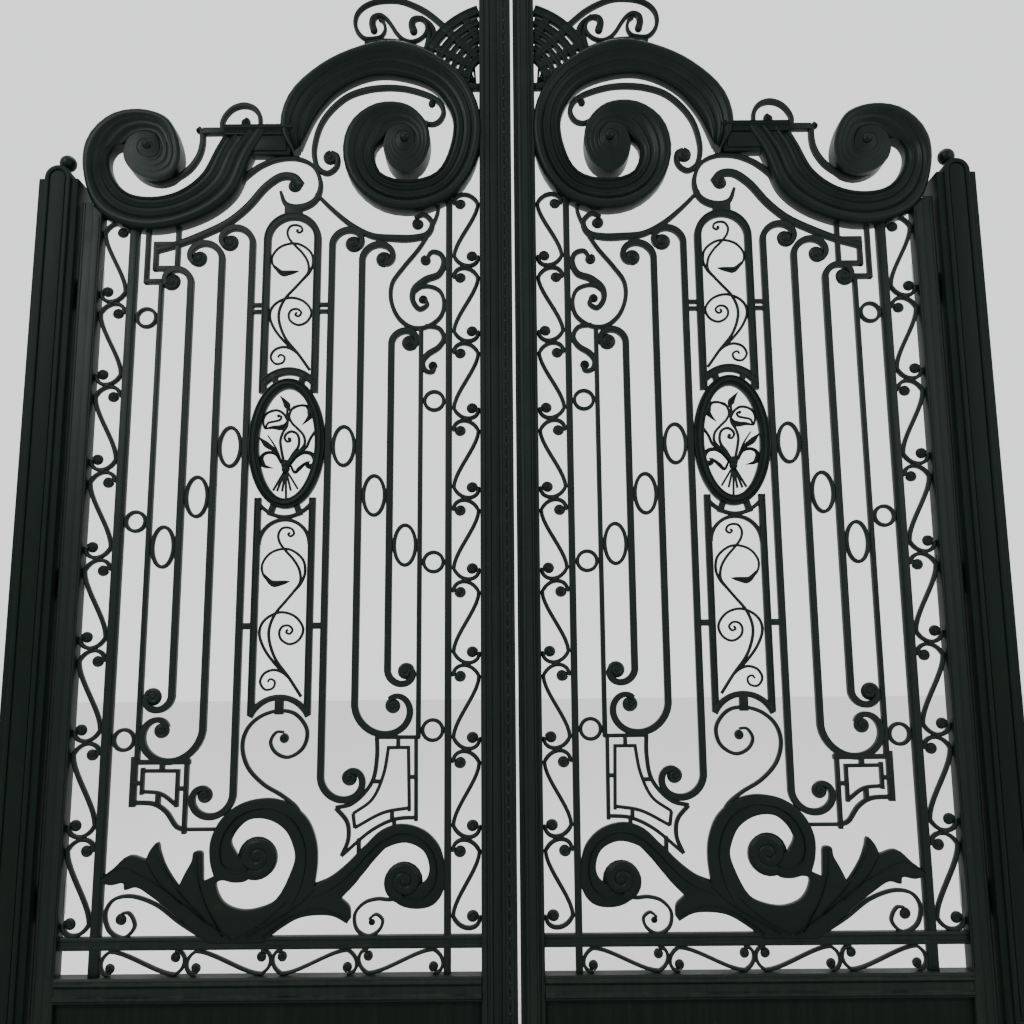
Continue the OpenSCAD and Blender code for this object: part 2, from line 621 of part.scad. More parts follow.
// Key frames: two lines side by side, joined by small ties
module key_line(points, w) even_band([for (p = points) drawn(p)], w);
module key_frames_shape() {
  key_line([[1384, 1060], [1195, 1060]], 18);
  key_line([[1204, 1069], [1204, 818]], 28);
  key_line([[1195, 820], [1092, 820]], 12);
  even_band(drawn_curve([[1195, 818], [1227, 830], [1267, 882], [1312, 910], [1398, 916]]), 16);
  key_line([[1393, 912], [1393, 1069]], 23);
  key_line([[1361, 1029], [1231, 1028], [1231, 905]], 13);
  even_band(drawn_curve([[1231, 905], [1292, 947], [1360, 955]]), 13);
  key_line([[1361, 950], [1361, 1034]], 13);
  key_line([[499, 1144], [346, 1143]], 14);
  key_line([[354, 1143], [352, 850]], 14);
  even_band(drawn_curve([[352, 856], [429, 850], [512, 813], [622, 723]]), 13);
  even_band(drawn_curve([[622, 723], [599, 780], [604, 841], [647, 892]]), 15);
  even_band(drawn_curve([[647, 892], [584, 908], [515, 983], [498, 1072], [499, 1144]]), 15);
  key_line([[456, 1106], [382, 1106], [377, 884]], 12);
  even_band(drawn_curve([[377, 890], [471, 874], [576, 821]]), 12);
  even_band(drawn_curve([[576, 821], [583, 871]]), 12);
  even_band(drawn_curve([[583, 871], [514, 921], [473, 1010], [456, 1106]]), 12);
  for (t = [[1290, 1044, 16, 40], [1213, 965, 40, 16], [1377, 985, 40, 16], [1300, 925, 16, 40],
    [365, 1000, 34, 14],
      [420, 1125, 14, 34], [440, 860, 14, 34], [495, 985, 34, 14]])
    translate(drawn([t[0], t[1]])) square([t[2], t[3]], center = true);
  even_band([for (p = [[1325, 3087], [1412, 3087], [1412, 2985], [1325, 2985],
    [1325, 3150]]) crown(p)], 14);
}
module key_frames(s) color(iron) leaf(s) stand(band_d) difference() {
  key_frames_shape();
  acanthus_shape();
  uprights_shape();
  hooked_bars_shape();
  outer_scroll_shape();
}

// Crown, drawn for a leaf 1602 wide whose meeting stile rises 1100 above the springing
rise = meeting_rise / 1100;
function crown(p) = [meeting_x + (p[0] - 113) * (x_heel - meeting_x) / 1602,
  z_spring + (p[1] - 3185) * rise];
function crown_curve(k, n = span_steps) = curve([for (p = k) crown(p)], n);
module crown_box(x0, z0, x1, z1) {
  a = crown([x0, z0]);
  b = crown([x1, z1]);
  box(a[0], a[1], b[0], b[1]);
}

// Large cast scrolls, each rolled up into a solid eye, with stepped mouldings
function outer_scroll_edge() = crown_curve([[1040, 3452], [1105, 3290], [1237, 3189], [1452, 3141],
  [1640, 3216],
  [1718, 3401], [1707, 3545], [1617, 3642], [1495, 3663], [1384, 3621], [1331, 3521], [1334, 3430],
  [1395, 3352],
  [1482, 3366], [1551, 3456], [1571, 3532]]);
function outer_scroll_inside() = crown_curve([[1595, 3536], [1625, 3480], [1600, 3385], [1537, 3302],
  [1442, 3280],
  [1335, 3303], [1244, 3375], [1188, 3505], [1130, 3568]]);
module outer_scroll_shape() {
  intersection() {
    polygon(concat(outer_scroll_edge(), outer_scroll_inside()));
    box(0, 0, x_heel, 2 * z_top);
  }
  crown_box(880, 3459, 1125, 3588);
  crown_box(872, 3555, 1150, 3588);
}
eye_d = cast_d + 2 * cast_step;
module outer_scroll(s) color(iron_light) leaf(s) {
  for (i = [[0.5, 0], [0.76, 1],
    [1, 2.2]]) stand(cast_d * i[0]) offset(delta = -cast_step * i[1]) difference() {
    outer_scroll_shape();
    inner_scroll_shape();
  }
  stand(eye_d) disc(crown([1462, 3512]), 40);
}
function inner_scroll_edge() = crown_curve([[868, 3462], [925, 3570], [896, 3724], [769, 3858],
  [619, 3936],
  [468, 3966], [316, 3914], [186, 3808], [116, 3665], [109, 3502], [157, 3356], [247, 3258], [383, 3214],
  [519, 3239], [630, 3342], [668, 3485], [631, 3610], [529, 3682], [406, 3673], [326, 3587], [322, 3460],
  [383, 3375], [464, 3392], [502, 3484], [500, 3539]]);
function inner_scroll_inside() = crown_curve([[527, 3518], [546, 3469], [519, 3381], [410, 3348],
  [288, 3384],
  [227, 3518], [227, 3638], [302, 3752], [430, 3805], [555, 3810], [686, 3750], [774, 3648],
  [840, 3520]]);
module inner_scroll_shape() intersection() {
  polygon(concat(inner_scroll_edge(), inner_scroll_inside()));
  box(meeting_x, 0, x_heel, 2 * z_top);
}
module inner_scroll(s) color(iron_light) leaf(s) {
  for (i = [[0.5, 0], [0.76, 1], [1, 2.2]])
    stand(cast_d * i[0]) offset(delta = -cast_step * i[1]) inner_scroll_shape();
  stand(eye_d) disc(crown([415, 3530]), 44);
}

// Bands of the crown, hung under and set inside the large scrolls
module crown_bands_shape() {
  band(crown_curve([[1420, 3060], [1320, 3090], [1241, 3122], [1127, 3180], [1052, 3245], [977, 3336],
    [916, 3377],
    [866, 3372], [838, 3340]]), [[0, 28], [1, 32]]);
  disc(crown([862, 3336]), 30);
  band(crown_curve([[1090, 3350], [1049, 3390], [996, 3428], [926, 3453], [850, 3452], [790, 3420],
    [758, 3340],
    [780, 3270], [843, 3240], [897, 3256], [920, 3310]]), [[0, 26], [0.5, 14], [0.8, 30], [1, 12]]);
  for (e = [-1, 1]) {
    foot = crown([865, 3250]);
    box(x_mid + e * 45, panel_top - 12, x_mid + e * 25, foot[1]);
  }
  band(crown_curve([[775, 3300], [703, 3226], [624, 3159], [546, 3117], [469, 3107], [380, 3106],
    [322, 3124],
    [305, 3170], [339, 3206], [375, 3190]]), [[0, 14], [0.5, 30], [1, 14]]);
  disc(crown([362, 3165]), 24);
  band(crown_curve([[290, 3290], [280, 3230], [304, 3156], [353, 3067], [422, 2978], [463, 2914],
    [466, 2841],
    [435, 2769], [381, 2729], [321, 2733], [268, 2776], [256, 2832], [276, 2885], [322, 2896]]),
    [[0, 14], [0.5, 18], [1, 14]]);
  band(crown_curve([[330, 3010], [305, 3046], [270, 3036], [257, 3001], [276, 2952], [329, 2929],
    [375, 2889],
    [380, 2841], [352, 2806], [322, 2826], [334, 2848]]), [[0, 14], [0.5, 28], [1, 14]]);
  disc(crown([330, 3010]), 22);
  disc(crown([340, 2846]), 18);
  band(crown_curve([[330, 2736], [275, 2725], [256, 2685], [275, 2649], [320, 2618], [339, 2587],
    [327, 2552],
    [301, 2547], [290, 2568]]), [[0, 16], [0.5, 24], [1, 14]]);
  disc(crown([300, 2572]), 18);
  band(crown_curve([[718, 3485], [697, 3456], [706, 3409], [743, 3402], [771, 3427], [789, 3479],
    [788, 3530],
    [775, 3589], [742, 3648], [688, 3700], [633, 3729], [565, 3755], [496, 3770], [427, 3769],
    [358, 3753],
    [310, 3730], [276, 3706], [262, 3660], [290, 3610], [335, 3622]]), [[0, 18], [0.5, 22],
    [0.85, 18], [1, 30]]);
  disc(crown([716, 3450]), 24);
  disc(crown([294, 3708]), 15);
  band(crown_curve([[1166, 3580], [1168, 3616], [1150, 3655], [1120, 3682], [1080, 3692], [1042, 3680],
    [1018, 3650], [1012, 3610], [1016, 3580]]), [[0, 18], [0.5, 24], [1, 14]]);
  disc(crown([1078, 3620]), 24);
  crown_box(1068, 3580, 1088, 3610);
  band(crown_curve([[1250, 3585], [1249, 3512], [1260, 3460], [1284, 3421], [1320, 3386], [1365, 3358],
    [1400, 3345]]), [[0, 22], [0.7, 26], [1, 16]]);
  crown_box(1146, 3562, 1258, 3590);
}
module crown_bands(s) color(iron) leaf(s) stand(band_d) difference() {
  crown_bands_shape();
  inner_scroll_shape();
  outer_scroll_shape();
  uprights_shape();
  hooked_bars_shape();
  upper_panel_shape();
  key_frames_shape();
  side_scrolls_shape();
  box(0, 0, meeting_x, z_top);
}

// Half of the rayed crest, and the C-scroll beside it
crest_z = z_spring + 592 * rise;
module crest_rays(r0, r1, w, step) for (a = [step / 2 : step : 90])
  translate([0, crest_z]) rotate(a) translate([r0, -w / 2]) square([r1 - r0, w]);
module crest_shape() {
  for (r = [[crest_r, 26], [crest_r * 0.83, 22], [crest_r * 0.6, 18],
    [crest_r * 0.48, 16]]) difference() {
    translate([0, crest_z]) circle(r[0], $fn = 64);
    translate([0, crest_z]) circle(r[0] - r[1], $fn = 64);
  }
  crest_rays(crest_r * 0.82, crest_r - 20, 26, 12);
  crest_rays(crest_r * 0.58, crest_r * 0.8, 26, 15);
  crest_rays(40, crest_r * 0.46, 9, 10);
  box(0, crest_z - 24, crest_r, crest_z);
  band(crown_curve([[262, 4046], [330, 4107], [387, 4141], [444, 4163], [502, 4166], [559, 4156],
    [600, 4133],
    [624, 4100], [630, 4055], [616, 4016], [590, 3992], [556, 3990], [521, 4000], [505, 4029],
    [512, 4064],
    [530, 4079]]), [[0, 20], [0.5, 16], [1, 11]]);
  band(crown_curve([[386, 4024], [394, 4052], [386, 4076], [362, 4082], [341, 4068], [330, 4038],
    [342, 4003],
    [370, 3981], [400, 3975], [431, 3987], [458, 4016], [481, 4054], [504, 4084], [530, 4097],
    [553, 4086],
    [559, 4056], [552, 4030]]), [[0, 32], [0.12, 26], [0.25, 16], [0.75, 16], [0.88, 26], [1, 30]]);
  disc(crown([386, 4024]), 16);
  disc(crown([552, 4030]), 15);
  even_band(crown_curve([[345, 3930], [404, 3956], [461, 3972], [518, 3976], [590, 3966]]), 30);
}
module crest(s) color(iron_light) leaf(s) stand(band_d) difference() {
  intersection() {
    crest_shape();
    box(meeting_x, crest_z - 30, x_heel, 2 * z_top);
  }
  polygon(inner_scroll_edge());
}

post(0);  // left_post
post(2 * mid_x);  // right_post
post_cap(0);  // left_post_cap
post_cap(2 * mid_x);  // right_post_cap
post_hinges(-1);  // left_post_hinges
post_hinges(1);  // right_post_hinges
hanging_stile(-1);  // left_hanging_stile
hanging_stile(1);  // right_hanging_stile
meeting_stile(-1);  // left_meeting_stile
meeting_stile(1);  // right_meeting_stile
kick_rail(-1);  // left_kick_rail
kick_rail(1);  // right_kick_rail
uprights(-1);  // left_uprights
uprights(1);  // right_uprights
hooked_bars(-1);  // left_hooked_bars
hooked_bars(1);  // right_hooked_bars
frieze(-1);  // left_frieze
frieze(1);  // right_frieze
side_scrolls(-1);  // left_side_scrolls
side_scrolls(1);  // right_side_scrolls
upper_panel(-1);  // left_upper_panel
upper_panel(1);  // right_upper_panel
lower_panel(-1);  // left_lower_panel
lower_panel(1);  // right_lower_panel
medallion(-1);  // left_medallion
medallion(1);  // right_medallion
bouquet(-1);  // left_bouquet
bouquet(1);  // right_bouquet
vines(-1);  // left_vines
vines(1);  // right_vines
acanthus(-1);  // left_acanthus
acanthus(1);  // right_acanthus
base_spirals(-1);  // left_base_spirals
base_spirals(1);  // right_base_spirals
key_frames(-1);  // left_key_frames
key_frames(1);  // right_key_frames
outer_scroll(-1);  // left_outer_scroll
outer_scroll(1);  // right_outer_scroll
inner_scroll(-1);  // left_inner_scroll
inner_scroll(1);  // right_inner_scroll
crown_bands(-1);  // left_crown_bands
crown_bands(1);  // right_crown_bands
crest(-1);  // left_crest
crest(1);  // right_crest
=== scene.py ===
"""Double-leaf wrought iron driveway gate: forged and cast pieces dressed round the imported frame."""

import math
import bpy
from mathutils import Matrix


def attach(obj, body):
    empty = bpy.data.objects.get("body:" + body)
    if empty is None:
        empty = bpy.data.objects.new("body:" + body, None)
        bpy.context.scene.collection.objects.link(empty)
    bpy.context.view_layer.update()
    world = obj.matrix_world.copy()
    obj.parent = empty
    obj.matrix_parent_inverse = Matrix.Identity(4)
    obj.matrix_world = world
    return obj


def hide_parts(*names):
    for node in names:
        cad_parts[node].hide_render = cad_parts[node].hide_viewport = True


bl_info = {
    "name": "Wrought iron driveway gate",
    "version": (1, 0, 0),
    "blender": (4, 5, 0),
    "location": "View3D > Sidebar > Gate",
    "description": "Builds the forged bars, castings and finishes of a two-leaf driveway gate",
    "category": "Object",
}

import bmesh
import bpy
from mathutils import Matrix, Vector

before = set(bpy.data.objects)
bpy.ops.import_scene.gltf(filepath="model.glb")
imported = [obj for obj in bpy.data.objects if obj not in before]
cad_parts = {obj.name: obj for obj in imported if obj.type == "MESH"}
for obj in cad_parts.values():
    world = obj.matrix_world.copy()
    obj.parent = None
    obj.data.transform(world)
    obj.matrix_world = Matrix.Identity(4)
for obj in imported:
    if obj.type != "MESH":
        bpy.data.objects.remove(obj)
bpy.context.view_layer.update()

# Shapes are drawn in millimetres on one leaf: x from the gate's middle to the hinge side, z from the
# ground up, y through the leaf with the front at minus. They are then put on both sides of the gate.
MM = 0.001
MID_X = 1805.0
LEAF_Y = -30.0
SIDES = ((-1, "left"), (1, "right"))

# Uprights, as distances from the gate's middle
MEETING_X, INNER_X, THIN_IN_X, G_X, F_X, E_X = 113, 236, 346, 463, 584, 705
PANEL_X, D_X, C_X, B_X, THIN_OUT_X, OUTER_X = 865, 1025, 1146, 1267, 1384, 1500
STILE_X, HEEL_X, POST_X = 1629, 1715, 1725

# Heights above the ground
GAP_Z, RAIL_Z, FRIEZE_Z, THIN_Z, FIELD_Z, SPRING_Z = 40, 232, 315, 405, 449, 3185
MEDALLION_Z, TOP_Z, POST_Z, CREST_Z = 2286, 4285, 3355, 3777
PANEL_FOOT_Z, PANEL_TOP_Z, VINE_TOP_Z = FIELD_Z + 776, SPRING_Z + 34, MEDALLION_Z - 332
HINGE_Z = (547, 1725, 2903)
HINGE_X, HINGE_Y = 1703, 52

# The drawings that the base and the crown were set out on: where the panel's middle or the meeting stile
# stands across, where the field's foot or the scrolls' spring lies, and how wide the field is
BASE_DRAWING = (865, 449, 1264)
CROWN_DRAWING = (113, 3185, 1602)


# Paths
def at(x, z):
    return Vector((x, z))


def polar(r, degrees):
    a = math.radians(degrees)
    return at(r * math.cos(a), r * math.sin(a))


def arc(centre, r, a0, a1, step):
    return [centre + polar(r, a) for a in range(a0, a1 + 1, step)]


def spiral(eye, r0, r1, a0, a1, step=9.0):
    """A spiral about its eye whose radius grows or shrinks evenly from r0 to r1."""
    n = max(2, math.ceil(abs(a1 - a0) / step))
    return [eye + polar(r0 * (r1 / r0) ** (i / n), a0 + (a1 - a0) * i / n) for i in range(n + 1)]


def flip(path):
    return [-p for p in path]


def bezier(p0, p1, p2, p3, t):
    u = 1 - t
    return u * u * u * p0 + 3 * u * u * t * p1 + 3 * u * t * t * p2 + t * t * t * p3


def curve(knots, n=6):
    """A smooth curve through its knots, the same one that the solids follow."""
    k = [Vector(p) for p in knots]
    k = [2 * k[0] - k[1]] + k + [2 * k[-1] - k[-2]]
    reach = [math.sqrt((k[i + 1] - k[i]).length) for i in range(len(k) - 1)]

    def handle(a, b, c, d1, d2):
        top = d1 * d1 * c - d2 * d2 * a + (2 * d1 * d1 + 3 * d1 * d2 + d2 * d2) * b
        return top / (3 * d1 * (d1 + d2))

    path = []
    for i in range(1, len(k) - 2):
        a, b, c, d = k[i - 1], k[i], k[i + 1], k[i + 2]
        h1 = handle(a, b, c, reach[i - 1], reach[i])
        h2 = handle(d, c, b, reach[i + 1], reach[i])
        path += [bezier(b, h1, h2, c, j / n) for j in range(n)]
    return path + [k[-2]]


def drawn(p):
    """A point of the base's drawing, on the leaf."""
    x, z, wide = BASE_DRAWING
    return at(PANEL_X + (p[0] - x) * (OUTER_X - INNER_X) / wide, FIELD_Z + p[1] - z)


def base_curve(knots, n=6):
    return curve([drawn(p) for p in knots], n)


def crown(p):
    """A point of the crown's drawing, on the leaf."""
    x, z, wide = CROWN_DRAWING
    return at(MEETING_X + (p[0] - x) * (HEEL_X - MEETING_X) / wide, SPRING_Z + p[1] - z)


def crown_curve(knots, n=6):
    return curve([crown(p) for p in knots], n)


def evenly(path, count):
    """As many points as asked for, evenly spaced along a path."""
    lengths = [0.0]
    for p, q in zip(path, path[1:]):
        lengths.append(lengths[-1] + (q - p).length)
    found, k = [], 0
    for i in range(count):
        want = lengths[-1] * i / (count - 1)
        while k < len(path) - 2 and lengths[k + 1] < want:
            k += 1
        found.append(path[k].lerp(path[k + 1], (want - lengths[k]) / max(lengths[k + 1] - lengths[k], 1e-6)))
    return found


def looked_up(stations, t):
    """The value at t between stations, each a share of the length and its value."""
    if isinstance(stations, (int, float)):
        return stations
    for (t0, v0), (t1, v1) in zip(stations, stations[1:]):
        if t <= t1:
            return v0 + (v1 - v0) * max(0.0, t - t0) / max(t1 - t0, 1e-6)
    return stations[-1][1]


# Profiles for the lathe, and sections one unit wide and deep
def ball_profile(r, middle, a0):
    """A ball's outline from its neck, a0 degrees from its foot, up to its top."""
    return [(r * math.sin(math.radians(a)), middle - r * math.cos(math.radians(a)))
            for a in range(a0, 181, 12)]


def flat_section(ease=0.1):
    """A rectangular bar with eased edges."""
    e = 0.5 - ease
    return [(-0.5, -e), (-e, -0.5), (e, -0.5), (0.5, -e), (0.5, e), (e, 0.5), (-e, 0.5), (-0.5, e)]


def round_section(n=10):
    return [tuple(0.5 * v for v in polar(1, 360 * (i + 0.5) / n)) for i in range(n)]


def both_faces(front):
    """A section whose back is its front turned round. The front gives height over the middle plane."""
    return [(u, -h) for u, h in front] + [(u, h) for u, h in reversed(front)]


def even(half):
    """A front whose second half mirrors the first one."""
    return half + [(-u, h) for u, h in reversed(half) if u]


FLAT = flat_section()
ROUND = round_section()
CROWNED = both_faces(even([(-0.5, 0.34), (-0.42, 0.42), (-0.2, 0.49), (0, 0.5)]))
LEAF = both_faces(even([(-0.5, 0.12), (-0.25, 0.3), (-0.07, 0.26), (0, 0.5)]))
# A listel with a bead on both edges, as on the panel frames
FRAMED = both_faces(even([(-0.5, 0.36), (-0.46, 0.47), (-0.36, 0.5), (-0.26, 0.47), (-0.22, 0.38)]))
# Mouldings of the large castings, from the inner edge to the outer one, as places and heights
REEDS = [(-0.5, 0.2), (-0.475, 0.29), (-0.44, 0.33), (-0.405, 0.3), (-0.38, 0.24), (-0.33, 0.25),
         (-0.25, 0.3), (-0.215, 0.37), (-0.18, 0.4), (-0.145, 0.37), (-0.115, 0.31), (-0.04, 0.33),
         (0.03, 0.38), (0.065, 0.44), (0.1, 0.465), (0.135, 0.43), (0.165, 0.37), (0.205, 0.39),
         (0.26, 0.465), (0.33, 0.5), (0.4, 0.49), (0.46, 0.42), (0.5, 0.3)]
# A cornice seen on edge: fillet, hollow and torus
CORNICE = both_faces([(-0.5, 0.3), (-0.42, 0.36), (-0.34, 0.36), (-0.3, 0.3), (-0.16, 0.31), (-0.02, 0.36),
                      (0.08, 0.46), (0.16, 0.5), (0.26, 0.5), (0.32, 0.45), (0.35, 0.38), (0.4, 0.38),
                      (0.44, 0.42), (0.5, 0.42)])


def moulding(rolled_up):
    """The castings' section: deeply moulded at 0, as on the open band, and a cone with a trace of the
    mouldings at 1, as on the roll."""
    front = []
    for u, h in REEDS:
        # The open band rises towards its outer edge by this much, and the cone falls by a third of it
        level = 0.2 * (u + 0.5)
        smooth = 0.48 - 0.3 * level + 0.03 * (h - 0.26 - level)
        front.append((u, h + (smooth - h) * rolled_up))
    return both_faces(front)


class Drawing:
    """A piece in the making, in drawing millimetres."""

    def __init__(self):
        self.bm = bmesh.new()
        self.scratch = bpy.data.meshes.new("scratch")

    def take(self, part):
        """Adds a finished part to the piece."""
        bmesh.ops.recalc_face_normals(part, faces=part.faces[:])
        part.to_mesh(self.scratch)
        part.free()
        self.bm.from_mesh(self.scratch)

    def loft(self, stations, section, closed=False):
        """Draws a section, or one for each station, through stations: the matrices that stand it there."""
        sections = section if isinstance(section[0], list) else [section] * len(stations)
        part = bmesh.new()
        order = part.verts.layers.int.new("order")
        ring = bmesh.ops.create_circle(part, segments=len(sections[0]), radius=1.0)["verts"]
        ring.sort(key=lambda v: math.atan2(v.co.y, v.co.x))
        for i, vert in enumerate(ring):
            vert[order] = i
        edges = part.edges[:]
        for i, station in enumerate(stations):
            if i:
                made = bmesh.ops.extrude_edge_only(part, edges=edges)["geom"]
                ring = [g for g in made if isinstance(g, bmesh.types.BMVert)]
                new = set(ring)
                edges = [g for g in made if isinstance(g, bmesh.types.BMEdge)
                         and g.verts[0] in new and g.verts[1] in new]
            for vert in ring:
                vert.co = station @ Vector((*sections[i][vert[order]], 0))
        part.verts.layers.int.remove(order)
        if closed:
            bmesh.ops.remove_doubles(part, verts=part.verts[:], dist=0.01)
        else:
            bmesh.ops.holes_fill(part, edges=[e for e in part.edges if e.is_boundary], sides=0)
        self.take(part)

    def band(self, path, widths, depths=26.0, section=FLAT, y=0.0, closed=False):
        """A bar that follows a path. Its width and depth are numbers, or looked up from stations."""
        path = [Vector(p) for p in path]
        last = len(path) - 1
        stations = []
        for i, p in enumerate(path):
            if closed:
                way = path[(i + 1) % last] - path[(i - 1) % last]
            else:
                way = path[min(i + 1, last)] - path[max(i - 1, 0)]
            way.normalize()
            w, d = looked_up(widths, i / last), looked_up(depths, i / last)
            across = Vector((-way.y * w, 0, way.x * w))
            stations.append(placed(p, across, d, y))
        self.loft(stations, section, closed)

    def rails(self, outer, inner, depths, section):
        """A band held between two edge curves with as many points each."""
        last = len(outer) - 1
        stations = []
        for i, (o, n) in enumerate(zip(outer, inner)):
            across = Vector((o.x - n.x, 0, o.y - n.y))
            stations.append(placed((o + n) / 2, across, looked_up(depths, i / last), 0.0))
        self.loft(stations, section)

    def snail(self, eye, r, a0, way, depth, turns=1.6, rise=0.0, section=ROUND, step=22.5):
        """The rolled-up end of a bar: a bead that winds into its eye and rises towards the middle."""
        pitch = r / (turns + 0.5)
        n = math.ceil(turns * 360 / step)
        path = [eye + polar((r - pitch / 2) * (1 - i / n) + pitch * 0.25 * i / n,
                            a0 + way * turns * 360 * i / n) for i in range(n + 1)]
        self.band(path, [(0, pitch * 1.16), (1, pitch * 0.9)], [(0, depth), (1, depth + rise)], section)
        self.button(eye, pitch * 0.62, depth + rise)
        self.button(eye, r * 0.9, depth * 0.92, around=20)

    def button(self, centre, r, depth, y=0.0, around=12):
        """A round boss on both faces."""
        part = bmesh.new()
        bmesh.ops.create_uvsphere(part, u_segments=around, v_segments=6, radius=r)
        stood = (Matrix.Translation((centre[0], y, centre[1])) @ Matrix.Diagonal((1, depth / (2 * r), 1, 1))
                 @ Matrix.Rotation(math.pi / 2, 4, "X"))
        bmesh.ops.transform(part, verts=part.verts[:], matrix=stood)
        self.take(part)

    def block(self, x0, z0, x1, z1, depth, y=0.0, ease=1.5, turn=0.0):
        """A straight bar or plate, its edges eased."""
        part = bmesh.new()
        bmesh.ops.create_cube(part, size=1.0)
        size = Matrix.Diagonal((abs(x1 - x0), depth, abs(z1 - z0), 1))
        bmesh.ops.transform(part, verts=part.verts[:], matrix=size)
        bmesh.ops.bevel(part, geom=part.edges[:], offset=ease, offset_type="OFFSET", segments=2, profile=0.5,
                        affect="EDGES", material=-1)
        stood = Matrix.Translation(((x0 + x1) / 2, y, (z0 + z1) / 2)) @ Matrix.Rotation(-turn, 4, "Y")
        bmesh.ops.transform(part, verts=part.verts[:], matrix=stood)
        self.take(part)

    def upright(self, x, z0, z1, width, depth, ease=1.5):
        """An upright bar about its middle line."""
        self.block(x - width / 2, z0, x + width / 2, z1, depth, ease=ease)

    def strut(self, p, q, width, depth, ease=1.2, y=0.0):
        """A straight bar between two points, carried on by half its width at both ends."""
        way = q - p
        c = (p + q) / 2
        half = way.length / 2 + width / 2
        self.block(c.x - half, c.y - width / 2, c.x + half, c.y + width / 2, depth, y, ease,
                   math.atan2(way.y, way.x))

    def line(self, points, width, depth, ease=1.2):
        """Straight bars end to end. Each is a bit shallower than the last, so no two share a plane."""
        for i, (p, q) in enumerate(zip(points, points[1:])):
            self.strut(p, q, width, depth - 0.6 * i, ease)

    def ring(self, centre, r, width, depth, high=1.0, section=ROUND, steps=36):
        """A full ring, or an oval where high isn't 1; its bar keeps its width."""
        rx, rz = r - width / 2, r * high - width / 2
        path = [centre + at(rx * math.cos(a), rz * math.sin(a))
                for a in (2 * math.pi * i / steps for i in range(steps + 1))]
        self.band(path, width, depth, section, closed=True)

    def turned(self, profile, centre, steps=32, closed=False):
        """A piece turned on a lathe about an upright line; the profile is radius and height."""
        part = bmesh.new()
        verts = [part.verts.new((r, 0, h)) for r, h in profile]
        pairs = list(zip(verts, verts[1:])) + ([(verts[-1], verts[0])] if closed else [])
        edges = [part.edges.new(pair) for pair in pairs]
        bmesh.ops.spin(part, geom=verts + edges, cent=(0, 0, 0), axis=(0, 0, 1), dvec=(0, 0, 0),
                       angle=2 * math.pi, steps=steps, use_merge=True, use_duplicate=False)
        bmesh.ops.remove_doubles(part, verts=part.verts[:], dist=0.01)
        bmesh.ops.translate(part, verts=part.verts[:], vec=centre)
        self.take(part)

    def plate(self, outlines, depth, y=0.0, ease=3.0, lying=False):
        """A plate cut to outlines, holes among them, its edges rounded."""
        flat = bpy.data.curves.new("plate", "CURVE")
        flat.dimensions = "2D"
        flat.fill_mode = "BOTH"
        flat.extrude = depth / 2 - ease
        flat.bevel_depth = ease
        flat.bevel_resolution = 2
        flat.offset = -ease
        for outline in outlines:
            spline = flat.splines.new("POLY")
            spline.points.add(len(outline) - 1)
            for point, p in zip(spline.points, outline):
                point.co = (p[0], p[1], 0, 1)
            spline.use_cyclic_u = True
        holder = bpy.data.objects.new("plate", flat)
        mesh = bpy.data.meshes.new_from_object(holder)
        part = bmesh.new()
        part.from_mesh(mesh)
        bpy.data.objects.remove(holder)
        bpy.data.curves.remove(flat)
        bpy.data.meshes.remove(mesh)
        bmesh.ops.remove_doubles(part, verts=part.verts[:], dist=0.01)
        stood = Matrix.Translation((0, 0, y)) if lying else \
            Matrix.Translation((0, y, 0)) @ Matrix.Rotation(math.pi / 2, 4, "X")
        bmesh.ops.transform(part, verts=part.verts[:], matrix=stood)
        self.take(part)

    def put(self, name, nodes, body, finish, side, on_leaf=True, soft_angle=34):
        """Fits a copy of the piece in its place: on a leaf for side -1 left or 1 right, or on the posts."""
        bm = self.bm.copy()
        where = (MID_X * MM, LEAF_Y * MM, 0) if on_leaf else ((MID_X + side * MID_X) * MM, 0, 0)
        mirror = side if on_leaf else 1
        place = Matrix.Translation(where) @ Matrix.Diagonal((mirror * MM, MM, MM, 1))
        bmesh.ops.transform(bm, verts=bm.verts[:], matrix=place)
        if mirror < 0:
            bmesh.ops.reverse_faces(bm, faces=bm.faces[:])
        mesh = bpy.data.meshes.new(name)
        bm.to_mesh(mesh)
        bm.free()
        mesh.shade_smooth()
        mesh.set_sharp_from_angle(angle=math.radians(soft_angle))
        mesh.materials.append(bpy.data.materials[finish])
        piece = bpy.data.objects.new(name, mesh)
        bpy.context.scene.collection.objects.link(piece)
        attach(piece, body)
        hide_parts(*nodes)

    def both_leaves(self, name, node, finish, soft_angle=34):
        """Fits the piece on both leaves, mirrored on the left, and ends the drawing."""
        for side, word in SIDES:
            nodes = [f"{word}_{node}"] if node else []
            self.put(f"{word}_{name}", nodes, f"{word}_leaf", finish, side, True, soft_angle)
        self.end()

    def both_posts(self, name, node, finish, on_leaf=False):
        """Fits the piece on both posts and ends the drawing. With on_leaf, it is drawn beside the leaf."""
        for side, word in SIDES:
            self.put(f"{word}_{name}", [f"{word}_{node}"], "posts", finish, side, on_leaf)
        self.end()

    def end(self):
        self.bm.free()
        bpy.data.meshes.remove(self.scratch)


def placed(p, across, depth, y):
    """The matrix that stands a section at a point: its first axis across the path, its second in y."""
    place = Matrix.Identity(4)
    place.col[0] = (across.x, across.y, across.z, 0)
    place.col[1] = (0, depth, 0, 0)
    place.col[2] = (0, 0, 0, 0)
    place.col[3] = (p[0], y, p[1], 1)
    return place


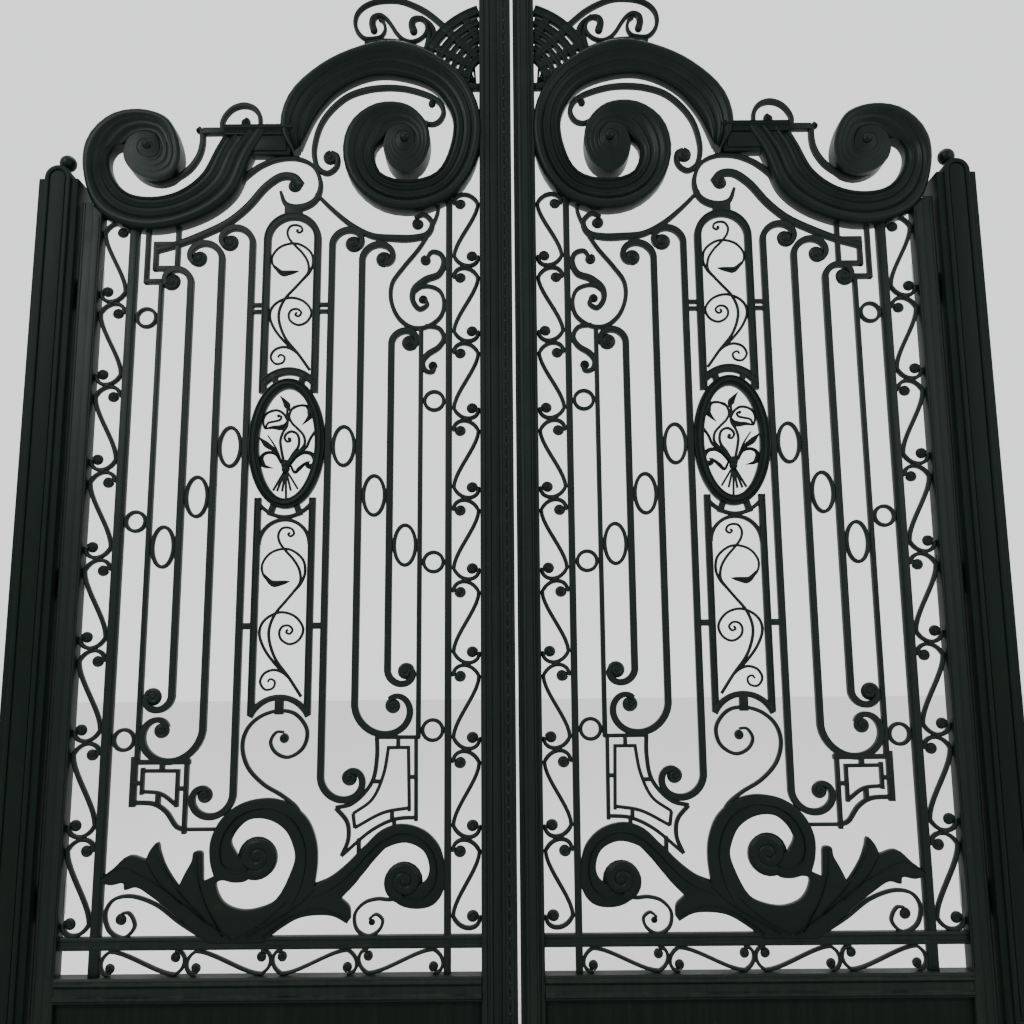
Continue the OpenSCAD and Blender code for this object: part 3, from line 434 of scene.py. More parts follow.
# Sizes and colours a user would change
class GateSizes(bpy.types.PropertyGroup):
    bar: bpy.props.FloatProperty(
        name="Bar", description="Width and depth of the hooked bars",
        default=0.026, min=0.018, max=0.034, unit="LENGTH")
    thick_bar: bpy.props.FloatProperty(
        name="Thick bar", description="Width of the upright by the hinge side",
        default=0.038, min=0.03, max=0.046, unit="LENGTH")
    thin_bar: bpy.props.FloatProperty(
        name="Thin bar", description="Width of the uprights beside the rings",
        default=0.018, min=0.014, max=0.024, unit="LENGTH")
    band: bpy.props.FloatProperty(
        name="Band", description="Width of the band that the S-scrolls are bent from",
        default=0.015, min=0.01, max=0.02, unit="LENGTH")
    band_depth: bpy.props.FloatProperty(
        name="Band depth", description="Depth of the band of the S-scrolls",
        default=0.024, min=0.016, max=0.03, unit="LENGTH")
    casting: bpy.props.FloatProperty(
        name="Casting depth", description="Depth of the large scrolls' mouldings",
        default=0.092, min=0.06, max=0.1, unit="LENGTH")
    bead_pitch: bpy.props.FloatProperty(
        name="Bead pitch", description="Distance between the beads of the strip",
        default=0.05, min=0.03, max=0.1, unit="LENGTH")


class GateFinish(bpy.types.PropertyGroup):
    paint: bpy.props.FloatVectorProperty(
        name="Paint", description="Colour of the paint on the bars",
        default=(0.0022, 0.0058, 0.0040), size=3, subtype="COLOR", min=0, max=1)
    paint_worn: bpy.props.FloatVectorProperty(
        name="Chalked paint", description="Colour of the paint where it chalks",
        default=(0.0062, 0.0122, 0.0092), size=3, subtype="COLOR", min=0, max=1)
    dust: bpy.props.FloatVectorProperty(
        name="Dust", description="Colour of the dust on ledges and low down",
        default=(0.04, 0.041, 0.033), size=3, subtype="COLOR", min=0, max=1)
    rust: bpy.props.FloatVectorProperty(
        name="Rust", description="Colour of the rust at joints",
        default=(0.06, 0.024, 0.011), size=3, subtype="COLOR", min=0, max=1)
    steel: bpy.props.FloatVectorProperty(
        name="Hinge steel", description="Colour of the greased hinges",
        default=(0.018, 0.019, 0.019), size=3, subtype="COLOR", min=0, max=1)
    gloss: bpy.props.FloatProperty(
        name="Roughness", description="Roughness of sound paint",
        default=0.42, min=0, max=1, subtype="FACTOR")


# Shader maths
class Wire:
    """A socket of a node tree, so that shader maths reads as an expression."""

    def __init__(self, finish, socket):
        self.finish = finish
        self.socket = socket

    def maths(self, operation, *values, clamp=False):
        return self.finish.node("ShaderNodeMath", {"operation": operation, "use_clamp": clamp},
                                dict(enumerate(values)))

    def __add__(self, other):
        return self.maths("ADD", self, other)

    __radd__ = __add__

    def __sub__(self, other):
        return self.maths("SUBTRACT", self, other)

    def __rsub__(self, other):
        return self.maths("SUBTRACT", other, self)

    def __mul__(self, other):
        return self.maths("MULTIPLY", self, other)

    __rmul__ = __mul__

    def clamped(self):
        return self.maths("ADD", self, 0.0, clamp=True)

    def between(self, low, high):
        """0 below low, 1 above high, smooth between them."""
        return self.finish.node("ShaderNodeMapRange", {"interpolation_type": "SMOOTHSTEP"},
                                {"Value": self, "From Min": low, "From Max": high})


class Finish:
    """A finish in the making: a material with a Principled shader."""

    def __init__(self, name, roughness=0.5, metallic=0.0):
        self.material = bpy.data.materials.new(name)
        self.material.use_nodes = True
        self.tree = self.material.node_tree
        self.shader = next(n for n in self.tree.nodes if n.type == "BSDF_PRINCIPLED")
        self.shader.inputs["Roughness"].default_value = roughness
        self.shader.inputs["Metallic"].default_value = metallic

    def fill(self, socket, value):
        if isinstance(value, Wire):
            self.tree.links.new(value.socket, socket)
        elif isinstance(value, (tuple, list)) and len(value) == 3 and socket.type == "RGBA":
            socket.default_value = (*value, 1)
        else:
            socket.default_value = value

    def node(self, kind, settings=None, inputs=None, output=0):
        """Any node: its settings are set first, then its sockets get their values or links."""
        made = self.tree.nodes.new(kind)
        for key, value in (settings or {}).items():
            setattr(made, key, value)
        for key, value in (inputs or {}).items():
            self.fill(made.inputs[key], value)
        return Wire(self, made.outputs[output])

    def place(self):
        return self.node("ShaderNodeTexCoord", output="Object")

    def noise(self, scale, detail=3.0, roughness=0.55, stretch=(1, 1, 1), warp=0.0):
        where = self.node("ShaderNodeMapping", None, {"Vector": self.place(), "Scale": stretch})
        return self.node("ShaderNodeTexNoise", None, {"Vector": where, "Scale": scale, "Detail": detail,
                                                      "Roughness": roughness, "Distortion": warp})

    def parts(self, vector):
        apart = self.node("ShaderNodeSeparateXYZ", None, {"Vector": vector})
        outputs = apart.socket.node.outputs
        return [Wire(self, outputs[i]) for i in range(3)]

    def mix(self, share, first, second):
        made = self.tree.nodes.new("ShaderNodeMix")
        made.data_type = "RGBA"
        for index, value in ((0, share), (6, first), (7, second)):
            self.fill(made.inputs[index], value)
        return Wire(self, made.outputs[2])

    def shade(self, **sockets):
        for name, value in sockets.items():
            self.fill(self.shader.inputs[name.replace("_", " ")], value)

    def bump(self, height, distance=0.001, strength=0.5):
        self.shade(Normal=self.node("ShaderNodeBump", None, {"Height": height, "Distance": distance,
                                                             "Strength": strength}))


def paint_finish(name, colours, gloss, shine, chalk, dust_low, dust_ledge, rust_share, grain):
    """Old gate paint: sound, chalked in patches, dusty on ledges and low down, and rusting at joints.
    Shine is the specular level, the next four are shares, and grain is the height of the skin."""
    made = Finish(name, gloss)
    made.shade(Specular_IOR_Level=shine)
    z = made.parts(made.place())[2]
    up = made.parts(made.node("ShaderNodeNewGeometry", output="Normal"))[2]
    patches = made.noise(5.5, 6, 0.62, warp=0.4)
    runs = made.noise(9, 4, 0.6, (5.5, 5.5, 0.35))
    specks = made.noise(95, 3, 0.65)
    # Chalking grows with height, from a quarter of it up to 0.4 m to all of it from 2.4 m up, so the paint
    # is lighter towards the top
    chalk_by_height = (z.between(0.4, 2.4) * 0.75 + 0.25) * chalk
    chalked = ((patches.between(0.44, 0.74) + runs.between(0.5, 0.8) * 0.6) * chalk_by_height).clamped()
    low = 1 - z.between(0.0, 0.75)
    ledge = up.between(0.55, 0.95) * patches.between(0.3, 0.62)
    dusty = (low * runs.between(0.36, 0.72) * dust_low + ledge * dust_ledge).clamped()
    scabs = made.noise(21, 7, 0.7, warp=0.8)
    rusted = (scabs.between(0.62, 0.72) * specks.between(0.4, 0.62) * rust_share).clamped()
    colour = made.mix(chalked, colours["paint"], colours["worn"])
    colour = made.mix(dusty, colour, colours["dust"])
    colour = made.mix(rusted, colour, colours["rust"])
    made.shade(Base_Color=colour,
               Roughness=(gloss + chalked * 0.22 + dusty * 0.4 + rusted * 0.35 + specks * 0.05).clamped())
    made.bump(specks * 0.35 + made.noise(310, 2) * 0.2 + rusted * 0.8 + patches * grain, 0.0012, 0.4)


class GATE_OT_finishes(bpy.types.Operator):
    """Mix the paint of bars, the paint of castings, the dusty kick plate and the hinge steel"""
    bl_idname = "gate.finishes"
    bl_label = "Mix the finishes"

    def execute(self, context):
        chosen = context.scene.gate_finish
        colours = {"paint": tuple(chosen.paint), "worn": tuple(chosen.paint_worn),
                   "dust": tuple(chosen.dust), "rust": tuple(chosen.rust)}
        deeper = dict(colours, worn=tuple(0.9 * c for c in colours["worn"]))
        gloss = chosen.gloss
        paint_finish("bar_paint", colours, gloss, 0.12, 0.45, 0.12, 0.3, 0.35, 0.5)
        paint_finish("casting_paint", deeper, gloss - 0.08, 0.09, 0.4, 0.04, 0.3, 0.25, 1.2)
        paint_finish("kick_plate_paint", colours, gloss + 0.1, 0.05, 0.25, 0.08, 0.2, 0.3, 1.4)
        paint_finish("post_paint", colours, gloss + 0.04, 0.06, 0.3, 0.1, 0.3, 0.35, 0.9)
        steel = Finish("hinge_steel", 0.38, 0.85)
        greased = steel.noise(24, 5, 0.6, (1, 1, 0.3)).between(0.42, 0.66)
        worn = steel.noise(130, 3, 0.6)
        steel.shade(Base_Color=steel.mix(greased, tuple(chosen.steel), (0.012, 0.012, 0.011)),
                    Roughness=0.3 + greased * 0.2 + worn * 0.15)
        steel.bump(worn, 0.0006, 0.35)
        return {"FINISHED"}


# Posts: half of the base plate, its thickness and its anchor holes, then the half widths of the shaft and of
# its panel, rim and field, and the panel's foot
PLATE_HALF, PLATE_THICK, ANCHOR, ANCHOR_R = 140, 20, 115, 9
SHAFT_HALF, PANEL_HALF, RIM_HALF, FIELD_HALF, PANEL_Z = 80, 52, 43, 30, 140


def round_topped(half, foot, step=9):
    """The outline of a panel on a post with a round top, its two feet first."""
    return [at(-half, foot), at(half, foot)] + arc(at(0, POST_Z), half, 0, 180, step)


class GATE_OT_posts(bpy.types.Operator):
    """Make both posts: base plate, shaft, round-topped panels, caps and the fixed halves of the hinges"""
    bl_idname = "gate.posts"
    bl_label = "Make the posts"

    def execute(self, context):
        post = Drawing()
        plate = [(x * PLATE_HALF, y * PLATE_HALF) for x, y in ((-1, -1), (1, -1), (1, 1), (-1, 1))]
        holes = [arc(at(x, y), ANCHOR_R, 0, 342, 18) for x in (-ANCHOR, ANCHOR) for y in (-ANCHOR, ANCHOR)]
        post.plate([plate] + holes, PLATE_THICK, y=PLATE_THICK / 2, ease=1.2, lying=True)
        post.block(-SHAFT_HALF, PLATE_THICK - 2, SHAFT_HALF, POST_Z, 150, ease=5)
        post.block(-SHAFT_HALF - 6, PLATE_THICK - 2, SHAFT_HALF + 6, 62, 160, ease=6)
        post.plate([round_topped(PANEL_HALF, PANEL_Z)], 160, ease=2)
        post.plate([round_topped(FIELD_HALF, PANEL_Z + 32, 10)], 167, ease=2.5)
        rim = round_topped(RIM_HALF, PANEL_Z + 9)
        rim = rim[1:] + rim[:1]
        for y in (-81, 81):
            post.band(rim, 17, 12, CROWNED, y)
            post.band([rim[-1] - at(8, 0), rim[0] + at(8, 0)], 17, 12, CROWNED, y)
        neck = POST_Z + 58
        post.block(-17, POST_Z + 30, 17, neck, 34, ease=3)
        post.both_posts("post_shaft", "post", "post_paint")
        cap = Drawing()
        collar = [(0, neck), (15, neck), (17, neck + 2.5), (15, neck + 5), (12.5, neck + 7),
                  (12.5, neck + 9)]
        cap.turned(collar + ball_profile(34, neck + 44, 24), (0, 0, 0), 40)
        cap.both_posts("post_ball", "post_cap", "casting_paint")
        hinge = Drawing()
        for z in HINGE_Z:
            hinge.turned([(0, z - 60), (17, z - 60), (20, z - 57), (20, z - 50), (19, z - 48.5),
                          (20, z - 47), (20, z - 3), (18, z), (9.8, z), (9.8, z + 61), (11.5, z + 61.5),
                          (11.5, z + 63), (7, z + 65.5), (0, z + 66)], (HINGE_X, HINGE_Y, 0), 36)
            hinge.block(HINGE_X + 8, z - 59, POST_X, z - 1, 19, HINGE_Y, 1.5)
        hinge.both_posts("hinge_pins", "post_hinges", "hinge_steel", on_leaf=True)
        return {"FINISHED"}


# Frame of the leaf: the bar of the hanging stile, the meeting edge of each leaf and the cover strip
STILE_BAR, STRIP_WIDE = 38, 56
MEETING_EDGES = {-1: -16, 1: 26}
MEETING_SECTION = both_faces([(-0.5, 0.44), (-0.47, 0.5), (-0.36, 0.5), (-0.33, 0.42), (-0.29, 0.42),
                              (-0.25, 0.48), (-0.19, 0.48), (-0.16, 0.4), (0.12, 0.4), (0.16, 0.47),
                              (0.22, 0.5), (0.28, 0.46), (0.32, 0.4), (0.36, 0.4), (0.39, 0.47),
                              (0.46, 0.47), (0.5, 0.42)])
STRIP_SECTION = both_faces(even([(-0.5, 0.3), (-0.44, 0.5), (-0.3, 0.5), (-0.26, 0.34)]))
RAIL_SECTION = both_faces([(-0.5, 0.36), (-0.44, 0.36), (-0.42, 0.44), (-0.36, 0.5), (-0.26, 0.49),
                           (-0.22, 0.4), (-0.18, 0.36), (0.1, 0.34), (0.14, 0.38), (0.18, 0.46), (0.24, 0.5),
                           (0.32, 0.48), (0.36, 0.42), (0.42, 0.42), (0.5, 0.36)])
THIN_SECTION = both_faces(even([(-0.5, 0.42), (-0.4, 0.5), (-0.24, 0.5), (-0.18, 0.38)]))


class GATE_OT_stiles(bpy.types.Operator):
    """Make the hanging stiles with their knuckles, and the meeting stiles with the beaded cover strip"""
    bl_idname = "gate.stiles"
    bl_label = "Make the stiles"

    def execute(self, context):
        stile = Drawing()
        x0, x1 = STILE_X, STILE_X + STILE_BAR
        stile.plate([[(x0 + 9, GAP_Z), (HEEL_X, GAP_Z), (HEEL_X, SPRING_Z + 78), (1678, SPRING_Z + 78),
                      (1655, SPRING_Z + 50), (x0 + 9, SPRING_Z + 34)]], 36, ease=3)
        stile.plate([[(x0, GAP_Z), (x1, GAP_Z), (x1, SPRING_Z + 58), (x0, SPRING_Z + 34)]], 60, ease=4)
        stile.plate([[(x0 + 7, RAIL_Z + 90), (x1 - 7, RAIL_Z + 90), (x1 - 7, SPRING_Z + 20),
                      (x0 + 7, SPRING_Z + 8)]], 66, ease=2.5)
        stile.band([(HEEL_X - 10, GAP_Z + 2), (HEEL_X - 10, SPRING_Z + 74)], 14, 42, CROWNED)
        stile.both_leaves("hanging_stile", "hanging_stile", "bar_paint")
        knuckles = Drawing()
        for z in HINGE_Z:
            knuckles.turned([(10.3, z + 1), (18, z + 1), (20, z + 4), (20, z + 48), (19, z + 49.5),
                             (20, z + 51), (20, z + 58), (17, z + 61), (10.3, z + 61)],
                            (HINGE_X, HINGE_Y, 0), 36, closed=True)
            knuckles.block(HINGE_X - 30, z + 2, HINGE_X - 12, z + 60, 36, 36, 2)
            knuckles.block(HINGE_X - 78, z - 24, HINGE_X - 22, z + 84, 8, 21, 1.5)
            for dx, dz in ((-66, -10), (-66, 70), (-38, -10), (-38, 70)):
                knuckles.button((HINGE_X + dx, z + dz), 6.5, 7, 26)
        knuckles.both_leaves("hinge_knuckles", None, "hinge_steel")
        for side, word in SIDES:
            self.meeting(context, side, word)
        return {"FINISHED"}

    def meeting(self, context, side, word):
        """The meeting stile of one leaf. The left one is wider and carries the cover strip."""
        made = Drawing()
        edge = MEETING_EDGES[side]
        width = MEETING_X - edge
        middle = edge + width / 2
        # Across an upward path the section runs from the hinge side to the meeting edge
        made.band([(middle, GAP_Z), (middle, TOP_Z)], width, 60, MEETING_SECTION)
        if side < 0:
            x = edge + STRIP_WIDE / 2
            made.band([(x, GAP_Z), (x, TOP_Z)], STRIP_WIDE, 26, STRIP_SECTION, -31)
            pitch = context.scene.gate_sizes.bead_pitch / MM
            for i in range(int((TOP_Z - GAP_Z - 60) / pitch)):
                z = GAP_Z + 50 + i * pitch
                made.button((x, z), 8.5, 12, -38, 10)
                made.band([(x, z + 10), (x, z + pitch * 0.5), (x, z + pitch - 10)],
                          [(0, 3), (0.5, 13), (1, 3)], 10, LEAF, -38)
        head = [(0, TOP_Z - 12), (30, TOP_Z - 12), (32, TOP_Z - 8), (29, TOP_Z - 5), (20, TOP_Z - 4)]
        made.turned(head + ball_profile(30, TOP_Z + 15.9, 36), (MEETING_X / 2 + edge / 2, 0, 0), 36)
        made.block(edge + 2, TOP_Z - 34, MEETING_X - 2, TOP_Z - 10, 58, ease=4)
        made.put(f"{word}_meeting_stile", [f"{word}_meeting_stile"], f"{word}_leaf", "bar_paint", side)
        made.end()


class GATE_OT_rails(bpy.types.Operator):
    """Make the kick plate, the moulded bottom rail and the rail over the frieze"""
    bl_idname = "gate.rails"
    bl_label = "Make the rails"

    def execute(self, context):
        plate = Drawing()
        plate.block(MEETING_X, GAP_Z, STILE_X, RAIL_Z + 2, 24, ease=3)
        plate.block(MEETING_X + 2, GAP_Z, STILE_X - 2, GAP_Z + 26, 30, ease=3)
        plate.block(MEETING_X + 26, GAP_Z + 40, STILE_X - 26, RAIL_Z - 16, 29, ease=4)
        plate.both_leaves("kick_plate", "kick_rail", "kick_plate_paint")
        rail = Drawing()
        for z, high, depth, section in ((RAIL_Z, 83, 84, RAIL_SECTION), (THIN_Z, 44, 30, THIN_SECTION)):
            rail.band([(MEETING_X, z + high / 2), (STILE_X, z + high / 2)], high, depth, section)
        rail.both_leaves("bottom_rail", None, "bar_paint")
        return {"FINISHED"}


# Bars
BAR_PITCH = 121
# Two hooks a bar: bar, height of the eye, reach of the hook, side that it turns to, up or down, turn, and
# radius of the eye
HOOKS = [
    (B_X, SPRING_Z - 256, 75, 1, 1, 200, 36), (B_X, FIELD_Z + 848, 69, 1, -1, 200, 34),
    (C_X, SPRING_Z - 159, 92, 1, 1, 215, 34), (C_X, FIELD_Z + 724, 154, 1, -1, 330, 29),
    (D_X, SPRING_Z - 92, 90, 1, 1, 215, 35), (D_X, FIELD_Z + 490, 104, 1, -1, 300, 29),
    (E_X, SPRING_Z - 101, 84, -1, 1, 215, 35), (E_X, FIELD_Z + 548, 107, -1, -1, 300, 29),
    (F_X, SPRING_Z - 166, 86, -1, 1, 260, 33), (F_X, FIELD_Z + 808, 143, -1, -1, 300, 29),
    (G_X, SPRING_Z - 518, 71, -1, 1, 215, 33), (G_X, FIELD_Z + 936, 68, -1, -1, 200, 32)]
HOOK_SHRINK = 0.61
OVALS_Z = (SPRING_Z - 1324, SPRING_Z - 1130, SPRING_Z - 934)
RINGS_OUT_Z = (SPRING_Z - 406, FIELD_Z + 1511, FIELD_Z + 692)
RINGS_IN_Z = (SPRING_Z - 756, FIELD_Z + 1346, FIELD_Z + 719)
RING_IN_X, RING_OUT_X, RING_R = 293, 1437, 44
OVAL_RX, OVAL_RZ = 47.6, 84
RING_BAR, RING_DEPTH = 14, 22


class GATE_OT_bars(bpy.types.Operator):
    """Make the uprights with their rings, and the hooked bars with their rolled eyes and ovals"""
    bl_idname = "gate.bars"
    bl_label = "Make the bars"

    def execute(self, context):
        sizes = context.scene.gate_sizes
        bar, thick, thin = sizes.bar / MM, sizes.thick_bar / MM, sizes.thin_bar / MM
        straight = Drawing()
        straight.upright(OUTER_X, FRIEZE_Z, SPRING_Z + 98, thick, bar, 2.5)
        straight.upright(OUTER_X, FIELD_Z + 4, SPRING_Z + 60, 22, bar + 5)
        straight.upright(INNER_X, FRIEZE_Z, SPRING_Z + 238, bar, bar, 2.5)
        # The outer thin bar steps aside under the outer scroll
        key_z, jog_z, jog_x = FIELD_Z + 612, SPRING_Z - 264, THIN_OUT_X + 62
        straight.upright(THIN_OUT_X, key_z, jog_z + thin, thin, bar, 2)
        straight.block(THIN_OUT_X - thin / 2, jog_z, jog_x + thin / 2, jog_z + thin, bar + 1, ease=2)
        straight.upright(jog_x, jog_z, SPRING_Z + 98, thin, bar - 1, 2)
        straight.upright(THIN_IN_X, key_z + 80, SPRING_Z - 456, thin, bar, 2)
        for x, heights in ((RING_OUT_X, RINGS_OUT_Z), (RING_IN_X, RINGS_IN_Z)):
            for z in heights:
                straight.ring(at(x, z), RING_R, RING_BAR, RING_DEPTH, section=CROWNED)
        straight.both_leaves("uprights", "uprights", "bar_paint")

        hooked = Drawing()
        for top, foot in zip(HOOKS[0::2], HOOKS[1::2]):
            below, above = self.hook(foot), self.hook(top)
            path = below[::-1] + above
            low, high = (len(below) - 1) / (len(path) - 1), len(below) / (len(path) - 1)
            hooked.band(path, [(0, bar * 0.72), (low / 2, bar * 0.94), (low, bar), (high, bar),
                               ((high + 1) / 2, bar * 0.94), (1, bar * 0.72)], bar)
            for x, z, reach, side, up, turn, r in (top, foot):
                start = (180 if side > 0 else 0) - side * up * turn
                hooked.snail(at(x + side * reach, z), r + 2, start, -side * up, bar, 1.5, 7)
        for i, z in enumerate(OVALS_Z):
            away = (2.5 - i) * BAR_PITCH
            for x in (D_X + away, E_X - away):
                hooked.ring(at(x, z), OVAL_RX, RING_BAR, RING_DEPTH, OVAL_RZ / OVAL_RX, CROWNED)
        hooked.both_leaves("hooked_bars", "hooked_bars", "bar_paint")
        return {"FINISHED"}

    def hook(self, hook):
        """The path of a hook from its bar to its eye. It leaves the bar straight, then tightens."""
        x, z, reach, side, up, turn, r = hook
        n = math.ceil(turn / 9)
        return [at(x + side * reach, z) + polar(reach * HOOK_SHRINK ** (turn / 90 * (i / n) ** 1.25),
                                                (180 if side > 0 else 0) - side * up * turn * i / n)
                for i in range(n + 1)]


# S-scrolls
# Columns: distance from the gate's middle, start over the field's foot, count, pitch and whether mirrored
COLUMNS = ((STILE_X - 55, 0, 8, 342, True), (MEETING_X + 55, 17, 9, 314.5, False))
COLUMN_WIDE, FRIEZE_WIDE, FRIEZE_COUNT = 110, 90, 4


def s_path(w, p, b, fine=9.0):
    upper = spiral(at(0.25 * w, p / 2 - 0.41 * w), (w - b) * 0.19, (w - b) / 2 + 0.25 * w, 0, 180, fine)
    a, c = upper[-1], 0.2 * p
    middle = [bezier(a, a - at(0, c), at(0, c) - a, -a, i / 10) for i in range(1, 10)]
    return upper + middle + flip(upper[::-1])


def s_scroll(made, centre, w, p, b, depth, mirrored, lying=False):
    """One S-scroll with its two eyes; its upper eye is on the right unless it is mirrored."""
    def stand(v):
        v = at(-v.y, v.x) if lying else v
        return centre + (at(-v.x, v.y) if mirrored else v)
    made.band([stand(v) for v in s_path(w, p, b)], b, depth, CROWNED)
    eye = at(0.2 * w, p / 2 - 0.41 * w)
    way = -1 if mirrored else 1
    for e, a in ((stand(eye), 0), (stand(-eye), 180)):
        angle = a + 90 if lying else a
        made.snail(e, 0.215 * w, 180 - angle if mirrored else angle, -way, depth, 1.2, 5, step=30)


class GATE_OT_side_scrolls(bpy.types.Operator):
    """Make the columns of S-scrolls beside both stiles, and the lying scrolls of the frieze"""
    bl_idname = "gate.side_scrolls"
    bl_label = "Make the side scrolls and the frieze"

    def execute(self, context):
        sizes = context.scene.gate_sizes
        b, depth = sizes.band / MM, sizes.band_depth / MM
        columns = Drawing()
        for x, start, count, pitch, mirrored in COLUMNS:
            for i in range(count):
                foot = FIELD_Z + start + i * pitch
                s_scroll(columns, at(x, foot + pitch / 2), COLUMN_WIDE, pitch, b, depth, mirrored)
                if i:
                    columns.block(x - 9, foot - 7, x + 9, foot + 7, depth + 6, ease=2)
        columns.both_leaves("side_scrolls", "side_scrolls", "bar_paint")
        frieze = Drawing()
        x0, z = INNER_X + 13, (FRIEZE_Z + THIN_Z) / 2
        pitch = (OUTER_X - 19 - x0) / FRIEZE_COUNT
        for i in range(FRIEZE_COUNT):
            centre = at(x0 + (i + 0.5) * pitch, z)
            s_scroll(frieze, centre, FRIEZE_WIDE, pitch, b * 0.8, depth, i < FRIEZE_COUNT / 2, True)
        frieze.both_leaves("frieze", "frieze", "bar_paint")
        return {"FINISHED"}


# Middle panel: half widths of the two frames and distance of their ties, then the half sizes of the
# medallion's ring and how far its middle lies under the bouquet's
UPPER_HALF, LOWER_HALF, TIE_X = 101, 105, 131.5
MEDALLION_RX, MEDALLION_RZ, DROP = 129, 239, -22
MEDALLION_SECTION = both_faces([(-0.5, 0.3), (-0.44, 0.42), (-0.34, 0.44), (-0.28, 0.34), (-0.2, 0.34),
                                (-0.1, 0.47), (0.04, 0.5), (0.16, 0.46), (0.22, 0.36), (0.3, 0.36),
                                (0.36, 0.42), (0.44, 0.4), (0.5, 0.3)])


def oval_point(rx, rz, a, rise=0):
    return at(PANEL_X + rx * math.cos(math.radians(a)), MEDALLION_Z + rise + rz * math.sin(math.radians(a)))


def oval_arc(rx, rz, a0, a1, step, rise=0):
    return [oval_point(rx, rz, a, rise) for a in range(a0, a1 + 1, step)]


class GATE_OT_panels(bpy.types.Operator):
    """Make the tall panel frames above and below the oval medallion, and the medallion's moulding"""
    bl_idname = "gate.panels"
    bl_label = "Make the middle panel"

    def execute(self, context):
        upper = Drawing()
        left, right = PANEL_X - UPPER_HALF, PANEL_X + UPPER_HALF
        arch_z, side_z = PANEL_TOP_Z - 116, MEDALLION_Z + 180
        arch = arc(at(PANEL_X, arch_z), UPPER_HALF, 6, 174, 6)
        upper.band([at(right, side_z), at(right, arch_z)] + arch + [at(left, arch_z), at(left, side_z)],
                   30, 28, FRAMED)
        upper.band(oval_arc(177, 268, 54, 126, 4), 30, 30, FRAMED)
        for a in (70, 110):
            upper.strut(oval_point(146, 236, a), oval_point(166, 260, a), 24, 26)
        for z in (SPRING_Z - 392, SPRING_Z - 364):
            for x in (PANEL_X - TIE_X, PANEL_X + TIE_X):
                upper.upright(x, z, z + 14, 34, 24)
        upper.both_leaves("upper_panel", "upper_panel", "bar_paint")

        lower = Drawing()
        foot_z, arch_z = PANEL_FOOT_Z + 4, VINE_TOP_Z + 9
        for s in (-1, 1):
            x = PANEL_X + s * LOWER_HALF
            lower.band([at(x, foot_z), at(x, MEDALLION_Z - 238)], 26, 28, FRAMED)
            lower.upright(PANEL_X + s * TIE_X, FIELD_Z + 1096, FIELD_Z + 1120, 34, 24)
        lower.band(oval_arc(177, 291, 232, 308, 4, DROP), 15, 26, CROWNED)
        lower.band(arc(at(PANEL_X, arch_z - 97), 97, 0, 180, 6), 14, 25, CROWNED)
        lower.band(arc(at(PANEL_X, PANEL_FOOT_Z - 52), 119, 24, 156, 6), 22, 26, CROWNED)
        for a in (252, 288):
            lower.strut(oval_point(146, 258, a, DROP), oval_point(176, 288, a, DROP), 24, 23)
        lower.both_leaves("lower_panel", "lower_panel", "bar_paint")

        oval = Drawing()
        around = oval_arc(MEDALLION_RX, MEDALLION_RZ, 0, 360, 5, DROP)
        oval.band(around, 40, 44, MEDALLION_SECTION, closed=True)
        oval.both_leaves("medallion", "medallion", "casting_paint")
        return {"FINISHED"}


# Stems of a vine on a panel 86 wide from its middle and 664 high: knots across and down, and end widths
VINE_HALF, VINE_HIGH = 86, 664
VINE_REACH = 89
VINE_STEMS = [
    ([(22, 44), (14, 49), (22, 58), (35, 49), (31, 33), (14, 24), (-9, 27), (-22, 50), (-17, 80),
      (7, 114), (38, 150), (60, 191), (63, 236), (40, 272), (11, 309), (-24, 354), (-44, 405), (-45, 449),
      (-21, 523), (32, 597), (78, 668)], 9, 13),
    ([(40, 272), (66, 240), (80, 200), (72, 150), (29, 112), (-7, 107), (-52, 125), (-79, 169),
      (-70, 212), (-38, 238)], 12, 9),
    ([(32, 597), (-20, 545), (-62, 486), (-80, 435), (-75, 398), (-50, 368), (-2, 350), (50, 368),
      (79, 415), (63, 456), (30, 471), (-2, 451), (-8, 424), (3, 404), (26, 401), (40, 417), (30, 432),
      (17, 426), (23, 415)], 12, 9),
    ([(32, 597), (8, 577), (-24, 567), (-58, 580), (-72, 612), (-53, 640), (-25, 634), (-19, 611),
      (-36, 601), (-45, 612)], 12, 8)]
VINE_BLADE = [(-72, 205), (-38, 240), (-6, 238), (26, 232)]
